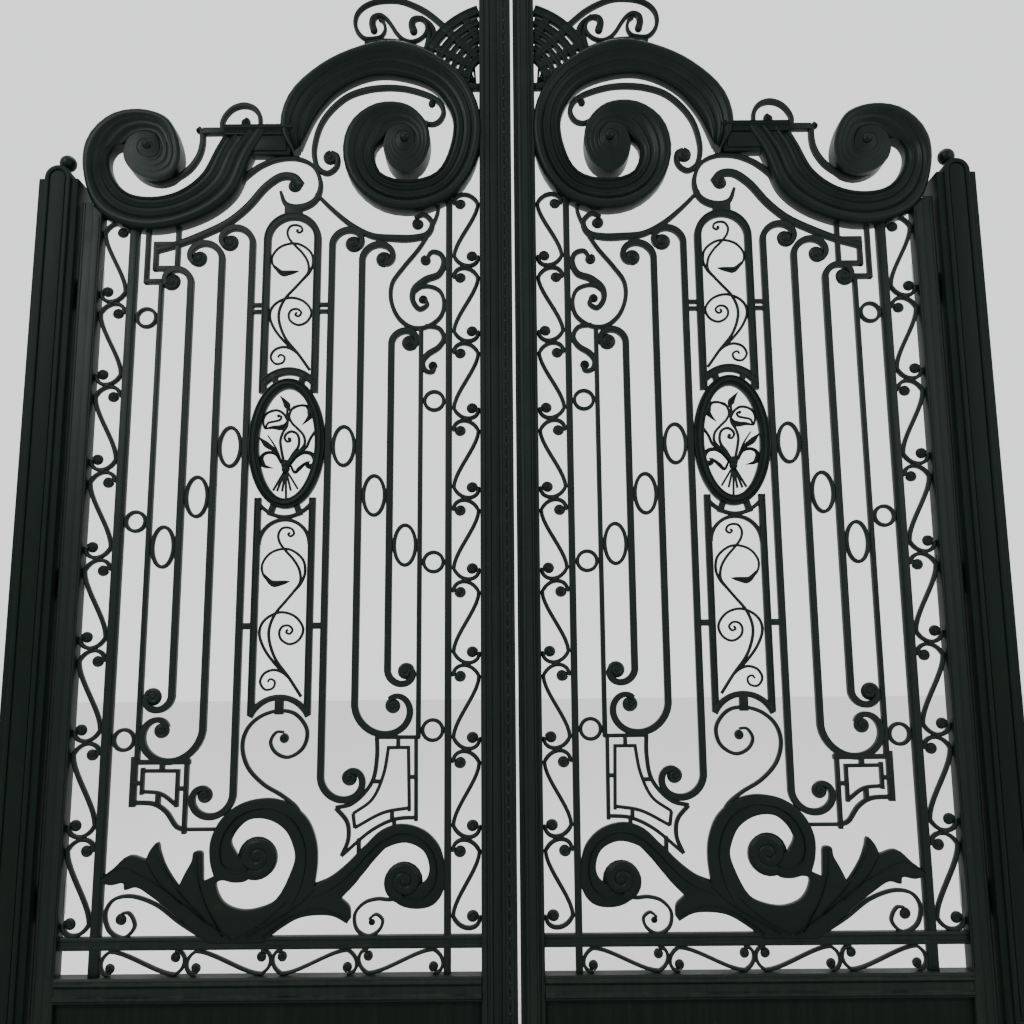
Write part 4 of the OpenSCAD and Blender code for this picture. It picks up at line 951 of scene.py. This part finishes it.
# The bouquet's stems, curls and blades from the medallion's middle, with their widths and sections
BOUQUET = [
    ([(10, -98), (22, -44), (26, -11), (17, 22), (3, 45), (0, 69), (3, 96), (2, 122)], [(0, 12), (1, 10)],
     ROUND),
    ([(-3, 108), (1, 124), (14, 146), (33, 170)], [(0, 8), (0.45, 28), (1, 2)], LEAF),
    ([(-9, -98), (-31, -65), (-56, -45), (-69, -22), (-64, 8), (-41, 35), (-18, 58), (-6, 82), (-10, 105),
      (-22, 122), (-45, 129)], [(0, 12), (1, 10)], ROUND),
    ([(-14, 114), (-45, 129), (-73, 126), (-88, 108), (-88, 88), (-76, 71), (-56, 51)],
     [(0, 8), (0.3, 11), (0.55, 31), (0.75, 19), (1, 2)], LEAF),
    ([(-6, -98), (-24, -65), (-43, -38), (-47, -12), (-38, 15), (-15, 25), (4, 15), (10, -1), (0, -15),
      (-13, -12), (-11, -2)], [(0, 12), (0.6, 11), (1, 9)], ROUND),
    ([(0, 69), (13, 92), (36, 109), (59, 109), (84, 96), (95, 69), (87, 38), (77, 59), (51, 66), (30, 72),
      (25, 84), (36, 89)], [(0, 12), (0.55, 9), (1, 10)], ROUND),
    ([(-1, 68), (11, 49), (27, 41), (57, 42), (88, 36)], [(0, 8), (0.45, 24), (1, 5)], LEAF),
    ([(20, -97), (47, -51), (79, -27), (108, 2)], [(0, 9), (0.7, 25), (1, 4)], LEAF),
    ([(20, -97), (44, -38), (75, 9)], [(0, 10), (1, 6)], ROUND),
    ([(20, -101), (42, -66), (70, -58), (92, -68), (98, -90), (87, -110), (50, -121)],
     [(0, 10), (0.5, 14), (0.75, 24), (1, 2)], LEAF),
    ([(-12, -101), (-44, -62), (-75, -39), (-89, -6), (-111, 31), (-120, 60)], [(0, 12), (1, 11)], ROUND),
    ([(-16, -104), (-41, -73), (-69, -59), (-97, -66), (-110, -92), (-103, -112), (-84, -113),
      (-76, -98)], [(0, 11), (0.5, 18), (0.8, 22), (1, 12)], LEAF),
    ([(-16, -108), (-33, -138), (-52, -121), (-74, -102), (-91, -95)], [(0, 8), (0.5, 16), (1, 5)], LEAF)]
BOUQUET_FEET = [(47, -206), (32, -208), (13, -209), (-3, -254), (-19, -206), (-45, -200)]
# Across, up and radius of the tie's two beads and of the eyes
BOUQUET_BEADS = [(2, -106, 20), (2, -124, 17), (-8, -4, 7), (36, 88, 7), (-80, -102, 9)]


class GATE_OT_vines(bpy.types.Operator):
    """Make the vines in the panels and the tied bouquet in the medallion"""
    bl_idname = "gate.vines"
    bl_label = "Make the vines and the bouquet"

    def execute(self, context):
        vines = Drawing()
        self.vine(vines, MEDALLION_Z + 238 + 39, PANEL_TOP_Z - 30)
        self.vine(vines, PANEL_FOOT_Z + 72, VINE_TOP_Z + 2)
        vines.both_leaves("vines", "vines", "casting_paint", 50)
        bouquet = Drawing()
        middle, tie = at(PANEL_X, MEDALLION_Z), at(2, -125)
        for i, (knots, widths, section) in enumerate(BOUQUET):
            bouquet.band(curve([middle + at(x, z) for x, z in knots], 5), widths, 12 + 0.3 * i, section)
        for x, z in BOUQUET_FEET:
            bouquet.strut(middle + tie, middle + at(x, z), 8, 11)
        for x, z, r in BOUQUET_BEADS:
            bouquet.button(middle + at(x, z), r, 10 + r)
        bouquet.both_leaves("bouquet", "bouquet", "casting_paint", 50)
        return {"FINISHED"}

    def vine(self, made, z0, z1):
        """One vine between two heights, with the blade at its upper curl."""
        k = (z1 - z0) / VINE_HIGH

        def on_panel(knots):
            return [at(PANEL_X - x * VINE_REACH / VINE_HALF, z1 - z * k) for x, z in knots]

        for knots, w0, w1 in VINE_STEMS:
            made.band(curve(on_panel(knots), 5), [(0, w0), (1, w1)], 13, ROUND)
        made.band(curve(on_panel(VINE_BLADE), 4), [(0, 8), (0.4, 27), (0.8, 15), (1, 2)], 14, LEAF)


# Base of the leaf
# Ribs along the acanthus's two curls: knots, widths, eye, its radius, and the angle and way of its roll
CURLS = [
    ([(800, 545), (762, 630), (749, 720), (765, 795), (808, 858), (868, 891), (930, 893), (990, 872),
      (1036, 826), (1060, 765), (1052, 700), (1010, 672), (970, 674), (936, 702)],
     [(0, 84), (0.2, 78), (0.5, 62), (0.75, 64), (0.88, 46), (1, 10)], (928, 722), 80, 300, -1),
    ([(725, 580), (645, 616), (578, 672), (524, 730), (466, 780), (400, 802), (335, 784), (291, 735),
      (275, 675), (288, 612), (335, 572), (390, 580), (415, 615)],
     [(0, 90), (0.15, 72), (0.35, 54), (0.6, 50), (0.8, 42), (0.92, 36), (1, 10)], (394, 634), 76, 278, 1)]
# The casting's outline in smooth pieces, and the opening within its upper curl
ACANTHUS = [
    [(899, 427), (831, 477), (770, 510), (701, 520), (646, 515), (597, 490)],
    [(584, 508), (588, 548), (619, 577)],
    [(619, 577), (558, 640), (511, 713), (456, 752), (386, 768), (323, 738), (302, 678), (315, 638),
     (353, 612)],
    [(410, 640), (450, 612), (419, 559), (356, 539), (287, 552), (249, 604), (248, 690), (267, 757),
     (323, 812), (408, 834), (480, 812), (545, 752), (630, 672), (717, 620)],
    [(717, 620), (708, 700), (714, 775), (745, 850), (800, 900), (860, 925), (923, 928), (1000, 908),
     (1064, 856), (1100, 780), (1098, 705), (1083, 657)],
    [(1121, 640), (1124, 700), (1130, 742), (1158, 742), (1165, 710), (1186, 671), (1209, 622)],
    [(1209, 622), (1250, 665), (1276, 720), (1291, 777), (1316, 752), (1332, 717)],
    [(1332, 717), (1393, 732), (1452, 683), (1506, 642)],
    [(1506, 642), (1455, 628), (1409, 634), (1403, 612), (1361, 620), (1306, 589), (1201, 512),
     (1104, 433), (1085, 427)]]
CURL_OPENING = [(1000, 730), (1024, 775), (1010, 822), (968, 850), (925, 858), (872, 846), (825, 812),
                (800, 765), (790, 722), (802, 675), (855, 576), (916, 547), (981, 541), (1041, 564),
                (1068, 605), (1072, 634), (1050, 642), (1010, 634), (960, 642), (930, 700)]
VEINS = [
    ([(960, 445), (860, 500), (770, 560), (715, 610)], 30, 16),
    ([(1000, 440), (905, 490), (815, 570)], 24, 12),
    ([(1010, 440), (1110, 505), (1210, 580), (1320, 650), (1420, 690), (1492, 650)], 34, 8),
    ([(1040, 450), (1105, 560), (1136, 650), (1145, 735)], 26, 6),
    ([(1110, 510), (1200, 600), (1262, 690), (1291, 765)], 26, 6),
    ([(1190, 560), (1280, 640), (1328, 712)], 22, 6),
    ([(900, 445), (800, 515), (700, 545), (600, 510)], 26, 8)]
# Thin bars at the base: knots, width, eye, its radius, and the angle and way at which the bar winds into it
BASE_BARS = [
    ([(426, 572), (450, 570), (488, 573), (536, 560), (570, 521), (562, 469), (521, 446), (480, 468),
      (470, 501), (494, 520), (518, 504)], 12, (508, 493), 13, 60, -1),
    ([(1130, 455), (1200, 497), (1290, 560), (1385, 589), (1444, 576), (1470, 531), (1452, 470),
      (1400, 446), (1362, 485), (1385, 530), (1410, 530)], 13, (1412, 508), 22, 80, -1),
    ([(768, 850), (790, 893), (845, 937), (916, 979), (975, 1041), (997, 1117), (980, 1179), (931, 1224),
      (861, 1243), (803, 1230), (759, 1171), (772, 1108), (827, 1074), (874, 1092), (893, 1130),
      (872, 1165), (845, 1165)], 14, (843, 1142), 20, 80, 1)]
KEY_BARS = [
    ([(1384, 1060), (1195, 1060)], 18),
    ([(1199, 1069), (1199, 812)], 16),
    ([(1195, 820), (1092, 820)], 12),
    ([(1393, 912), (1393, 1069)], 23),
    ([(1361, 1029), (1231, 1028), (1231, 905)], 13),
    ([(1361, 950), (1361, 1034)], 13),
    ([(499, 1144), (346, 1143)], 14),
    ([(354, 1143), (352, 850)], 14),
    ([(456, 1106), (382, 1106), (377, 884)], 12)]
KEY_CURVES = [
    ([(1195, 818), (1227, 830), (1267, 882), (1312, 910), (1398, 916)], 16),
    ([(1231, 905), (1292, 947), (1360, 955)], 13),
    ([(352, 856), (429, 850), (512, 813), (622, 723)], 13),
    ([(622, 723), (599, 780), (604, 841), (647, 892)], 15),
    ([(647, 892), (584, 908), (515, 983), (498, 1072), (499, 1144)], 15),
    ([(377, 890), (471, 874), (576, 821)], 12),
    ([(576, 821), (583, 871)], 12),
    ([(583, 871), (514, 921), (473, 1010), (456, 1106)], 12)]
KEY_TIES = [(1290, 1044, 16, 40), (1213, 965, 40, 16), (1377, 985, 40, 16), (1300, 925, 16, 40),
            (365, 1000, 34, 14), (420, 1125, 14, 34), (440, 860, 14, 34), (495, 985, 34, 14),
            (432, 842, 14, 30), (560, 756, 14, 56)]
# The square turn of the bar at the hinge side, under the crown
KEY_HOOK = [(1325, 3087), (1412, 3087), (1412, 2985), (1325, 2985), (1325, 3150)]


class GATE_OT_base(bpy.types.Operator):
    """Make the cast acanthus with its curls, the thin spirals beside it and the key frames"""
    bl_idname = "gate.base"
    bl_label = "Make the base"

    def execute(self, context):
        depth = context.scene.gate_sizes.band_depth / MM
        leaf = Drawing()
        points = [p for piece in ACANTHUS for p in base_curve(piece, 4)]
        outline = [p for p, before in zip(points, points[-1:] + points) if (p - before).length > 0.5]
        leaf.plate([outline, base_curve(CURL_OPENING, 4)], 32, ease=5)
        for knots, widths, eye, r, a0, way in CURLS:
            leaf.band(base_curve(knots), widths, [(0, 34), (0.3, 46), (1, 46)], LEAF)
            leaf.snail(drawn(eye), r, a0, way, 42, 1.8, 10, CROWNED, 15)
        for knots, w0, w1 in VEINS:
            leaf.band(base_curve(knots, 5), [(0, w0), (1, w1)], [(0, 50), (1, 38)], LEAF)
        leaf.both_leaves("acanthus", "acanthus", "casting_paint", 48)

        bars = Drawing()
        for knots, width, eye, r, a0, way in BASE_BARS:
            bars.band(base_curve(knots), [(0, width), (0.7, width), (1, width * 0.7)], depth, CROWNED)
            bars.snail(drawn(eye), r, a0, way, depth, 1.3, 5)
        bars.upright(PANEL_X, PANEL_FOOT_Z + 4, PANEL_FOOT_Z + 62, 32, depth)
        bars.both_leaves("base_spirals", "base_spirals", "bar_paint")

        keys = Drawing()
        # Each bar is a little shallower than the one before, so that crossing faces don't share a plane
        for i, (knots, width) in enumerate(KEY_BARS):
            keys.line([drawn(p) for p in knots], width, depth + 1 - 0.35 * i)
        for i, (knots, width) in enumerate(KEY_CURVES):
            keys.band(base_curve(knots), width, depth - 2.4 - 0.35 * i)
        for x, z, wide, high in KEY_TIES:
            c = drawn((x, z))
            keys.upright(c.x, c.y - high / 2, c.y + high / 2, wide, depth + 5, 2)
        keys.line([crown(p) for p in KEY_HOOK], 19, depth)
        keys.both_leaves("key_frames", "key_frames", "bar_paint")
        return {"FINISHED"}


# Large scrolls
# Outer edge of a band down to the tip of its opening, inner edge of its open part, and the roll's eye
OUTER_SCROLL = ([(976, 3572), (1040, 3452), (1105, 3290), (1237, 3189), (1452, 3141), (1640, 3216),
                 (1718, 3401), (1707, 3545), (1617, 3642), (1495, 3663), (1384, 3621), (1336, 3530),
                 (1324, 3440), (1348, 3376), (1412, 3350), (1484, 3368), (1537, 3415), (1554, 3468),
                 (1546, 3508)],
                [(1146, 3576), (1188, 3490), (1244, 3378), (1335, 3307), (1442, 3285), (1537, 3306),
                 (1598, 3375), (1617, 3445), (1604, 3492), (1577, 3513), (1546, 3508)],
                (1458, 3500))
INNER_SCROLL = ([(868, 3462), (925, 3570), (896, 3724), (769, 3858), (619, 3936), (468, 3966),
                 (316, 3914), (186, 3808), (116, 3665), (109, 3502), (157, 3356), (247, 3258),
                 (383, 3214), (519, 3239), (630, 3342), (668, 3485), (631, 3610), (529, 3682),
                 (406, 3673), (326, 3587), (316, 3480), (350, 3402), (415, 3370), (466, 3394),
                 (494, 3445), (502, 3492), (493, 3528)],
                [(840, 3500), (774, 3648), (686, 3750), (555, 3810), (430, 3805), (302, 3752),
                 (227, 3638), (227, 3518), (288, 3384), (410, 3350), (510, 3380), (545, 3450),
                 (540, 3494), (522, 3522), (493, 3528)],
                (415, 3524))


def rolled(outer_knots, inner_knots, eye, shrink, turns, count=52, step=10):
    """The edges of a band that rolls up about its eye. Past the open part, each turn lies on the next."""
    path, eye = crown_curve(outer_knots, 12), crown(eye)
    turned, radii = [0.0], [(path[-1] - eye).length]
    k = len(path) - 1
    while turned[-1] < 360:
        here, before = path[k] - eye, path[k - 1] - eye
        turned.append(turned[-1] + math.degrees(abs(math.atan2(here.cross(before), here.dot(before)))))
        radii.append(before.length)
        k -= 1

    def radius(t):
        """Distance from the eye where the outer edge has turned t degrees since the roll began."""
        if t > 360:
            return radius(t - 360) * (first + (shrink - first) * min(1.0, (t - 360) / 360))
        back = 360 - t
        i = next(j for j in range(1, len(turned)) if turned[j] >= back)
        r, change = radii[i - 1], radii[i] - radii[i - 1]
        return r + change * (back - turned[i - 1]) / (turned[i] - turned[i - 1])

    first = radii[0] / radius(0)
    tip = path[-1] - eye
    a0 = math.degrees(math.atan2(tip.y, tip.x))
    edge = evenly(path[:k + 1] + [eye + polar(radius(0), a0)], count)
    inside = evenly(crown_curve(inner_knots, 12), count)
    for i in range(1, int(turns * 360 / step) + 1):
        edge.append(eye + polar(radius(i * step), a0 + i * step))
        inside.append(eye + polar(radius(i * step + 360), a0 + i * step))
    # Two rounds of smoothing ease the inner edge over the start of the roll
    for i in [*range(count - 6, count + 6)] * 2:
        inside[i] = (inside[i - 1] + inside[i] * 2 + inside[i + 1]) / 4
    return edge, inside, eye, count - 1


class GATE_OT_large_scrolls(bpy.types.Operator):
    """Make the two large cast scrolls of each leaf, moulded all along and rolled up into coned eyes"""
    bl_idname = "gate.large_scrolls"
    bl_label = "Make the large scrolls"

    def execute(self, context):
        deep = context.scene.gate_sizes.casting / MM
        outer = Drawing()
        self.scroll(outer, OUTER_SCROLL, deep, 0.42)
        x0, x1 = crown((880, 0)).x, crown((1140, 0)).x
        z0, z1 = crown((0, 3462)).y, crown((0, 3588)).y
        outer.block(x0, z0, x1 - 20, z1 - 10, deep * 0.52, ease=3)
        outer.block(x0 + 16, z0 + 14, x1 - 40, z1 - 44, deep * 0.66, ease=5)
        outer.band([(x0 - 8, z1 - 22), (x1 + 10, z1 - 22)], 44, deep, CORNICE)
        outer.both_leaves("outer_scroll", "outer_scroll", "casting_paint", 40)
        inner = Drawing()
        self.scroll(inner, INNER_SCROLL, deep, 0.45)
        inner.both_leaves("inner_scroll", "inner_scroll", "casting_paint", 40)
        return {"FINISHED"}

    def scroll(self, made, drawing, deep, shrink):
        """A moulded band that rolls up. Its mouldings fade over 34 stations, 8 of them before the roll."""
        edge, inside, eye, opened = rolled(*drawing, shrink, 2.5)
        last = len(edge) - 1
        sections = [moulding(min(1.0, max(0.0, (i - opened + 8) / 34))) for i in range(last + 1)]
        depths = [(0, deep * 0.86), (0.04, deep), (opened / last, deep), (1, deep * 1.3)]
        made.rails(edge, inside, depths, sections)
        made.button(eye, 34, deep * 1.36, around=20)


# Crown
# Knots and widths of the crown's bars, with the roll at the end of most: eye, radius, angle and way
CROWN_BARS = [
    ([(1420, 3060), (1320, 3090), (1241, 3122), (1127, 3180), (1052, 3245), (977, 3336), (916, 3377),
      (866, 3372), (838, 3340)], [(0, 28), (1, 32)], ((862, 3336), 32, 180, -1)),
    ([(1090, 3350), (1049, 3390), (996, 3428), (926, 3453), (850, 3452), (790, 3420), (758, 3340),
      (780, 3270), (843, 3240), (897, 3256), (920, 3310)], [(0, 26), (0.5, 14), (0.8, 30), (1, 12)], None),
    ([(775, 3300), (703, 3226), (624, 3159), (546, 3117), (469, 3107), (380, 3106), (322, 3124),
      (305, 3170), (339, 3206), (375, 3190)], [(0, 14), (0.5, 30), (1, 14)], ((362, 3165), 26, 60, -1)),
    ([(290, 3290), (280, 3230), (304, 3156), (353, 3067), (422, 2978), (463, 2914), (466, 2841),
      (435, 2769), (381, 2729), (321, 2733), (268, 2776), (256, 2832), (272, 2880), (310, 2900),
      (348, 2898), (374, 2878)], [(0, 14), (0.5, 18), (1, 14)], None),
    ([(330, 3010), (305, 3046), (270, 3036), (257, 3001), (276, 2952), (329, 2929), (375, 2889),
      (380, 2841), (352, 2806), (322, 2826), (334, 2848)], [(0, 14), (0.5, 28), (1, 14)],
     ((340, 2846), 20, 200, -1)),
    ([(330, 2736), (275, 2725), (256, 2685), (275, 2649), (320, 2618), (339, 2587), (327, 2552),
      (301, 2547), (290, 2568)], [(0, 16), (0.5, 24), (1, 14)], ((300, 2572), 20, 200, -1)),
    ([(720, 3476), (694, 3462), (696, 3416), (732, 3389), (769, 3410), (787, 3466), (784, 3527),
      (762, 3605), (719, 3671), (655, 3728), (582, 3756), (508, 3766), (427, 3762), (353, 3742),
      (304, 3720), (271, 3690), (260, 3650), (279, 3613), (311, 3601), (342, 3614), (362, 3636)],
     [(0, 26), (0.1, 20), (0.5, 24), (0.85, 20), (1, 14)], ((720, 3456), 34, 90, -1)),
    ([(1166, 3580), (1168, 3616), (1150, 3655), (1120, 3682), (1080, 3692), (1042, 3680), (1018, 3650),
      (1012, 3610), (1016, 3580)], [(0, 18), (0.5, 24), (1, 14)], ((1073, 3616), 22, 90, 1)),
    ([(1262, 3594), (1249, 3572), (1246, 3525), (1257, 3472), (1292, 3415), (1352, 3368), (1415, 3350),
      (1474, 3368)], [(0, 12), (0.15, 23), (0.6, 26), (1, 10)], ((1264, 3580), 12, 90, -1))]
# Rolls at the other end of two of the bars: eye, radius, turns and rise
CROWN_ROLLS = (((330, 3010), 24, 1.4, 6), ((308, 3692), 17, 1.2, 4))
# The C-scroll beside the crest, the S-band within it and the tray that they lie in, with their widths
CREST_BANDS = [
    ([(262, 4046), (330, 4107), (387, 4141), (444, 4163), (502, 4166), (559, 4156), (600, 4133),
      (624, 4100), (630, 4055), (616, 4016), (590, 3992), (556, 3990), (521, 4000), (505, 4029),
      (512, 4064), (530, 4079)], [(0, 24), (0.5, 18), (1, 12)]),
    ([(386, 4024), (394, 4052), (386, 4076), (362, 4082), (341, 4068), (330, 4038), (342, 4003),
      (370, 3981), (400, 3975), (431, 3987), (458, 4016), (481, 4054), (504, 4084), (530, 4097),
      (553, 4086), (559, 4056), (552, 4030)],
     [(0, 32), (0.12, 26), (0.25, 15), (0.75, 15), (0.88, 26), (1, 30)]),
    ([(345, 3934), (404, 3958), (461, 3973), (518, 3976), (590, 3966)], 24)]
# Crest rings: radius of the middle, width, and the angles between the scroll below and the meeting stile
CREST_RINGS = [(357, 42, 21, 71), (306, 32, 18, 68), (268, 20, 15, 65), (235, 22, 12, 61), (201, 22, 7, 56),
               (168, 30, 3, 48)]
CREST_RAYS = (15, 30, 45, 60)
# The fan in the crest's corner, as angles and lengths, and the leaf at the crest's end
CREST_FINGERS = ((30, 66), (48, 84), (67, 104), (84, 120))
CREST_LEAF = [(354, 4092), (324, 4052), (312, 3996), (322, 3938), (334, 3900)]


class GATE_OT_crown(bpy.types.Operator):
    """Make the bars hung round the large scrolls, the rayed crest and the C-scroll beside it"""
    bl_idname = "gate.crown"
    bl_label = "Make the crown"

    def execute(self, context):
        depth = context.scene.gate_sizes.band_depth / MM
        bars = Drawing()
        for knots, widths, roll in CROWN_BARS:
            bars.band(crown_curve(knots), widths, depth, CROWNED)
            if roll:
                eye, r, a0, way = roll
                bars.snail(crown(eye), r, a0, way, depth, 1.5, 7)
        for eye, r, turns, rise in CROWN_ROLLS:
            bars.snail(crown(eye), r, 90, -1, depth, turns, rise)
        foot = crown((865, 3250)).y
        bars.block(PANEL_X - 36, PANEL_TOP_Z - 8, PANEL_X + 36, foot, depth - 1)
        x0, x1, x2 = crown((1066, 0)).x, crown((1146, 0)).x, crown((1246, 0)).x
        bars.block(x0, crown((0, 3580)).y, x0 + 14, crown((0, 3606)).y, depth - 3)
        bars.block(x1, crown((0, 3562)).y, x2, crown((0, 3590)).y, depth + 8, ease=4)
        bars.both_leaves("crown_bands", "crown_bands", "bar_paint")

        crest = Drawing()
        centre = at(0, CREST_Z)
        for r, width, a0, a1 in CREST_RINGS:
            ring = [centre + polar(r, a0 + (a1 - a0) * i / 16) for i in range(17)]
            crest.band(ring, width, depth + 4, FRAMED)
        for a in CREST_RAYS:
            start = max(160, (MEETING_X + 4) / math.cos(math.radians(a)))
            crest.strut(centre + polar(start + 15, a), centre + polar(352, a), 30, depth)
        foot = at(MEETING_X + 14, CREST_Z + 4)
        for i, (a, length) in enumerate(CREST_FINGERS):
            crest.band([foot, foot + polar(length / 2, a), foot + polar(length, a)],
                       [(0, 6), (0.7, 12), (1, 7)], depth + 2 - 2 * i, ROUND)
        crest.band(crown_curve(CREST_LEAF), [(0, 8), (0.35, 46), (0.75, 48), (1, 24)], depth + 2, LEAF)
        crest.block(MEETING_X, CREST_Z - 24, MEETING_X + 60, CREST_Z, depth + 6)
        for knots, widths in CREST_BANDS:
            crest.band(crown_curve(knots), widths, depth, CROWNED)
        crest.button(crown((386, 4022)), 17, depth + 6, around=16)
        crest.button(crown((552, 4028)), 16, depth + 6, around=16)
        crest.both_leaves("crest", "crest", "casting_paint", 40)
        return {"FINISHED"}


# Stage
# Soft lights: name, place and width in metres, and power in watts
LAMPS = (("key_light", (-3.2, -6.0, 6.5), 4.0, 470), ("fill_light", (7.2, -5.0, 4.0), 5.0, 180),
         ("top_light", (1.8, 1.6, 9.5), 5.0, 260))
# The photograph's lens, in pixels of its width, and where it stood: metres, and degrees of tilt and roll
LENS_PX, PHOTO_PX, SENSOR = 1000, 1024, 36
CAMERA_Y, CAMERA_Z, TILT, ROLL = -3.824, 1.36, 99.37, -0.46


class GATE_OT_stage(bpy.types.Operator):
    """Lay the pale floor, hang the soft lights and set the camera at the photograph's angle"""
    bl_idname = "gate.stage"
    bl_label = "Set the stage"

    def execute(self, context):
        bm = bmesh.new()
        bmesh.ops.create_grid(bm, x_segments=1, y_segments=1, size=60)
        mesh = bpy.data.meshes.new("floor")
        bm.to_mesh(mesh)
        bm.free()
        floor = bpy.data.objects.new("floor", mesh)
        floor.location = (MID_X * MM, 0, 0)
        pale = Finish("pale_floor", 0.85)
        pale.shade(Base_Color=(0.74, 0.73, 0.71))
        mesh.materials.append(pale.material)
        context.scene.collection.objects.link(floor)

        world = bpy.data.worlds.new("studio")
        world.use_nodes = True
        sky = world.node_tree.nodes["Background"]
        sky.inputs["Color"].default_value = (0.93, 0.94, 0.96, 1)
        sky.inputs["Strength"].default_value = 1.5
        context.scene.world = world
        for name, place, size, power in LAMPS:
            lamp = bpy.data.lights.new(name, "AREA")
            lamp.shape = "DISK"
            lamp.size = size
            lamp.energy = power
            holder = bpy.data.objects.new(name, lamp)
            holder.location = place
            aim = Vector((MID_X * MM, 0, 2.0)) - holder.location
            holder.rotation_euler = aim.to_track_quat("-Z", "Y").to_euler()
            context.scene.collection.objects.link(holder)

        lens = bpy.data.cameras.new("camera")
        lens.sensor_width = SENSOR
        lens.lens = SENSOR * LENS_PX / PHOTO_PX
        lens.clip_end = 200
        camera = bpy.data.objects.new("camera", lens)
        camera.matrix_world = (Matrix.Translation(((MID_X + 8) * MM, CAMERA_Y, CAMERA_Z))
                               @ Matrix.Rotation(math.radians(TILT), 4, "X")
                               @ Matrix.Rotation(math.radians(ROLL), 4, "Z"))
        context.scene.collection.objects.link(camera)
        context.scene.camera = camera
        return {"FINISHED"}


class GATE_PT_gate(bpy.types.Panel):
    """Sizes, finishes and steps of the driveway gate"""
    bl_idname = "GATE_PT_gate"
    bl_label = "Driveway gate"
    bl_space_type = "VIEW_3D"
    bl_region_type = "UI"
    bl_category = "Gate"

    def draw(self, context):
        for group in (context.scene.gate_sizes, context.scene.gate_finish):
            for key in group.__annotations__:
                self.layout.prop(group, key)
        for step in STEPS:
            self.layout.operator(step.bl_idname)


STEPS = (GATE_OT_finishes, GATE_OT_posts, GATE_OT_stiles, GATE_OT_rails, GATE_OT_bars, GATE_OT_side_scrolls,
         GATE_OT_panels, GATE_OT_vines, GATE_OT_base, GATE_OT_large_scrolls, GATE_OT_crown, GATE_OT_stage)
CLASSES = (GateSizes, GateFinish, *STEPS, GATE_PT_gate)


def register():
    for each in CLASSES:
        bpy.utils.register_class(each)
    bpy.types.Scene.gate_sizes = bpy.props.PointerProperty(type=GateSizes)
    bpy.types.Scene.gate_finish = bpy.props.PointerProperty(type=GateFinish)


def unregister():
    del bpy.types.Scene.gate_finish
    del bpy.types.Scene.gate_sizes
    for each in reversed(CLASSES):
        bpy.utils.unregister_class(each)


def main():
    register()
    for step in STEPS:
        getattr(bpy.ops.gate, step.bl_idname.split(".")[1])()


if __name__ == "__main__":
    main()
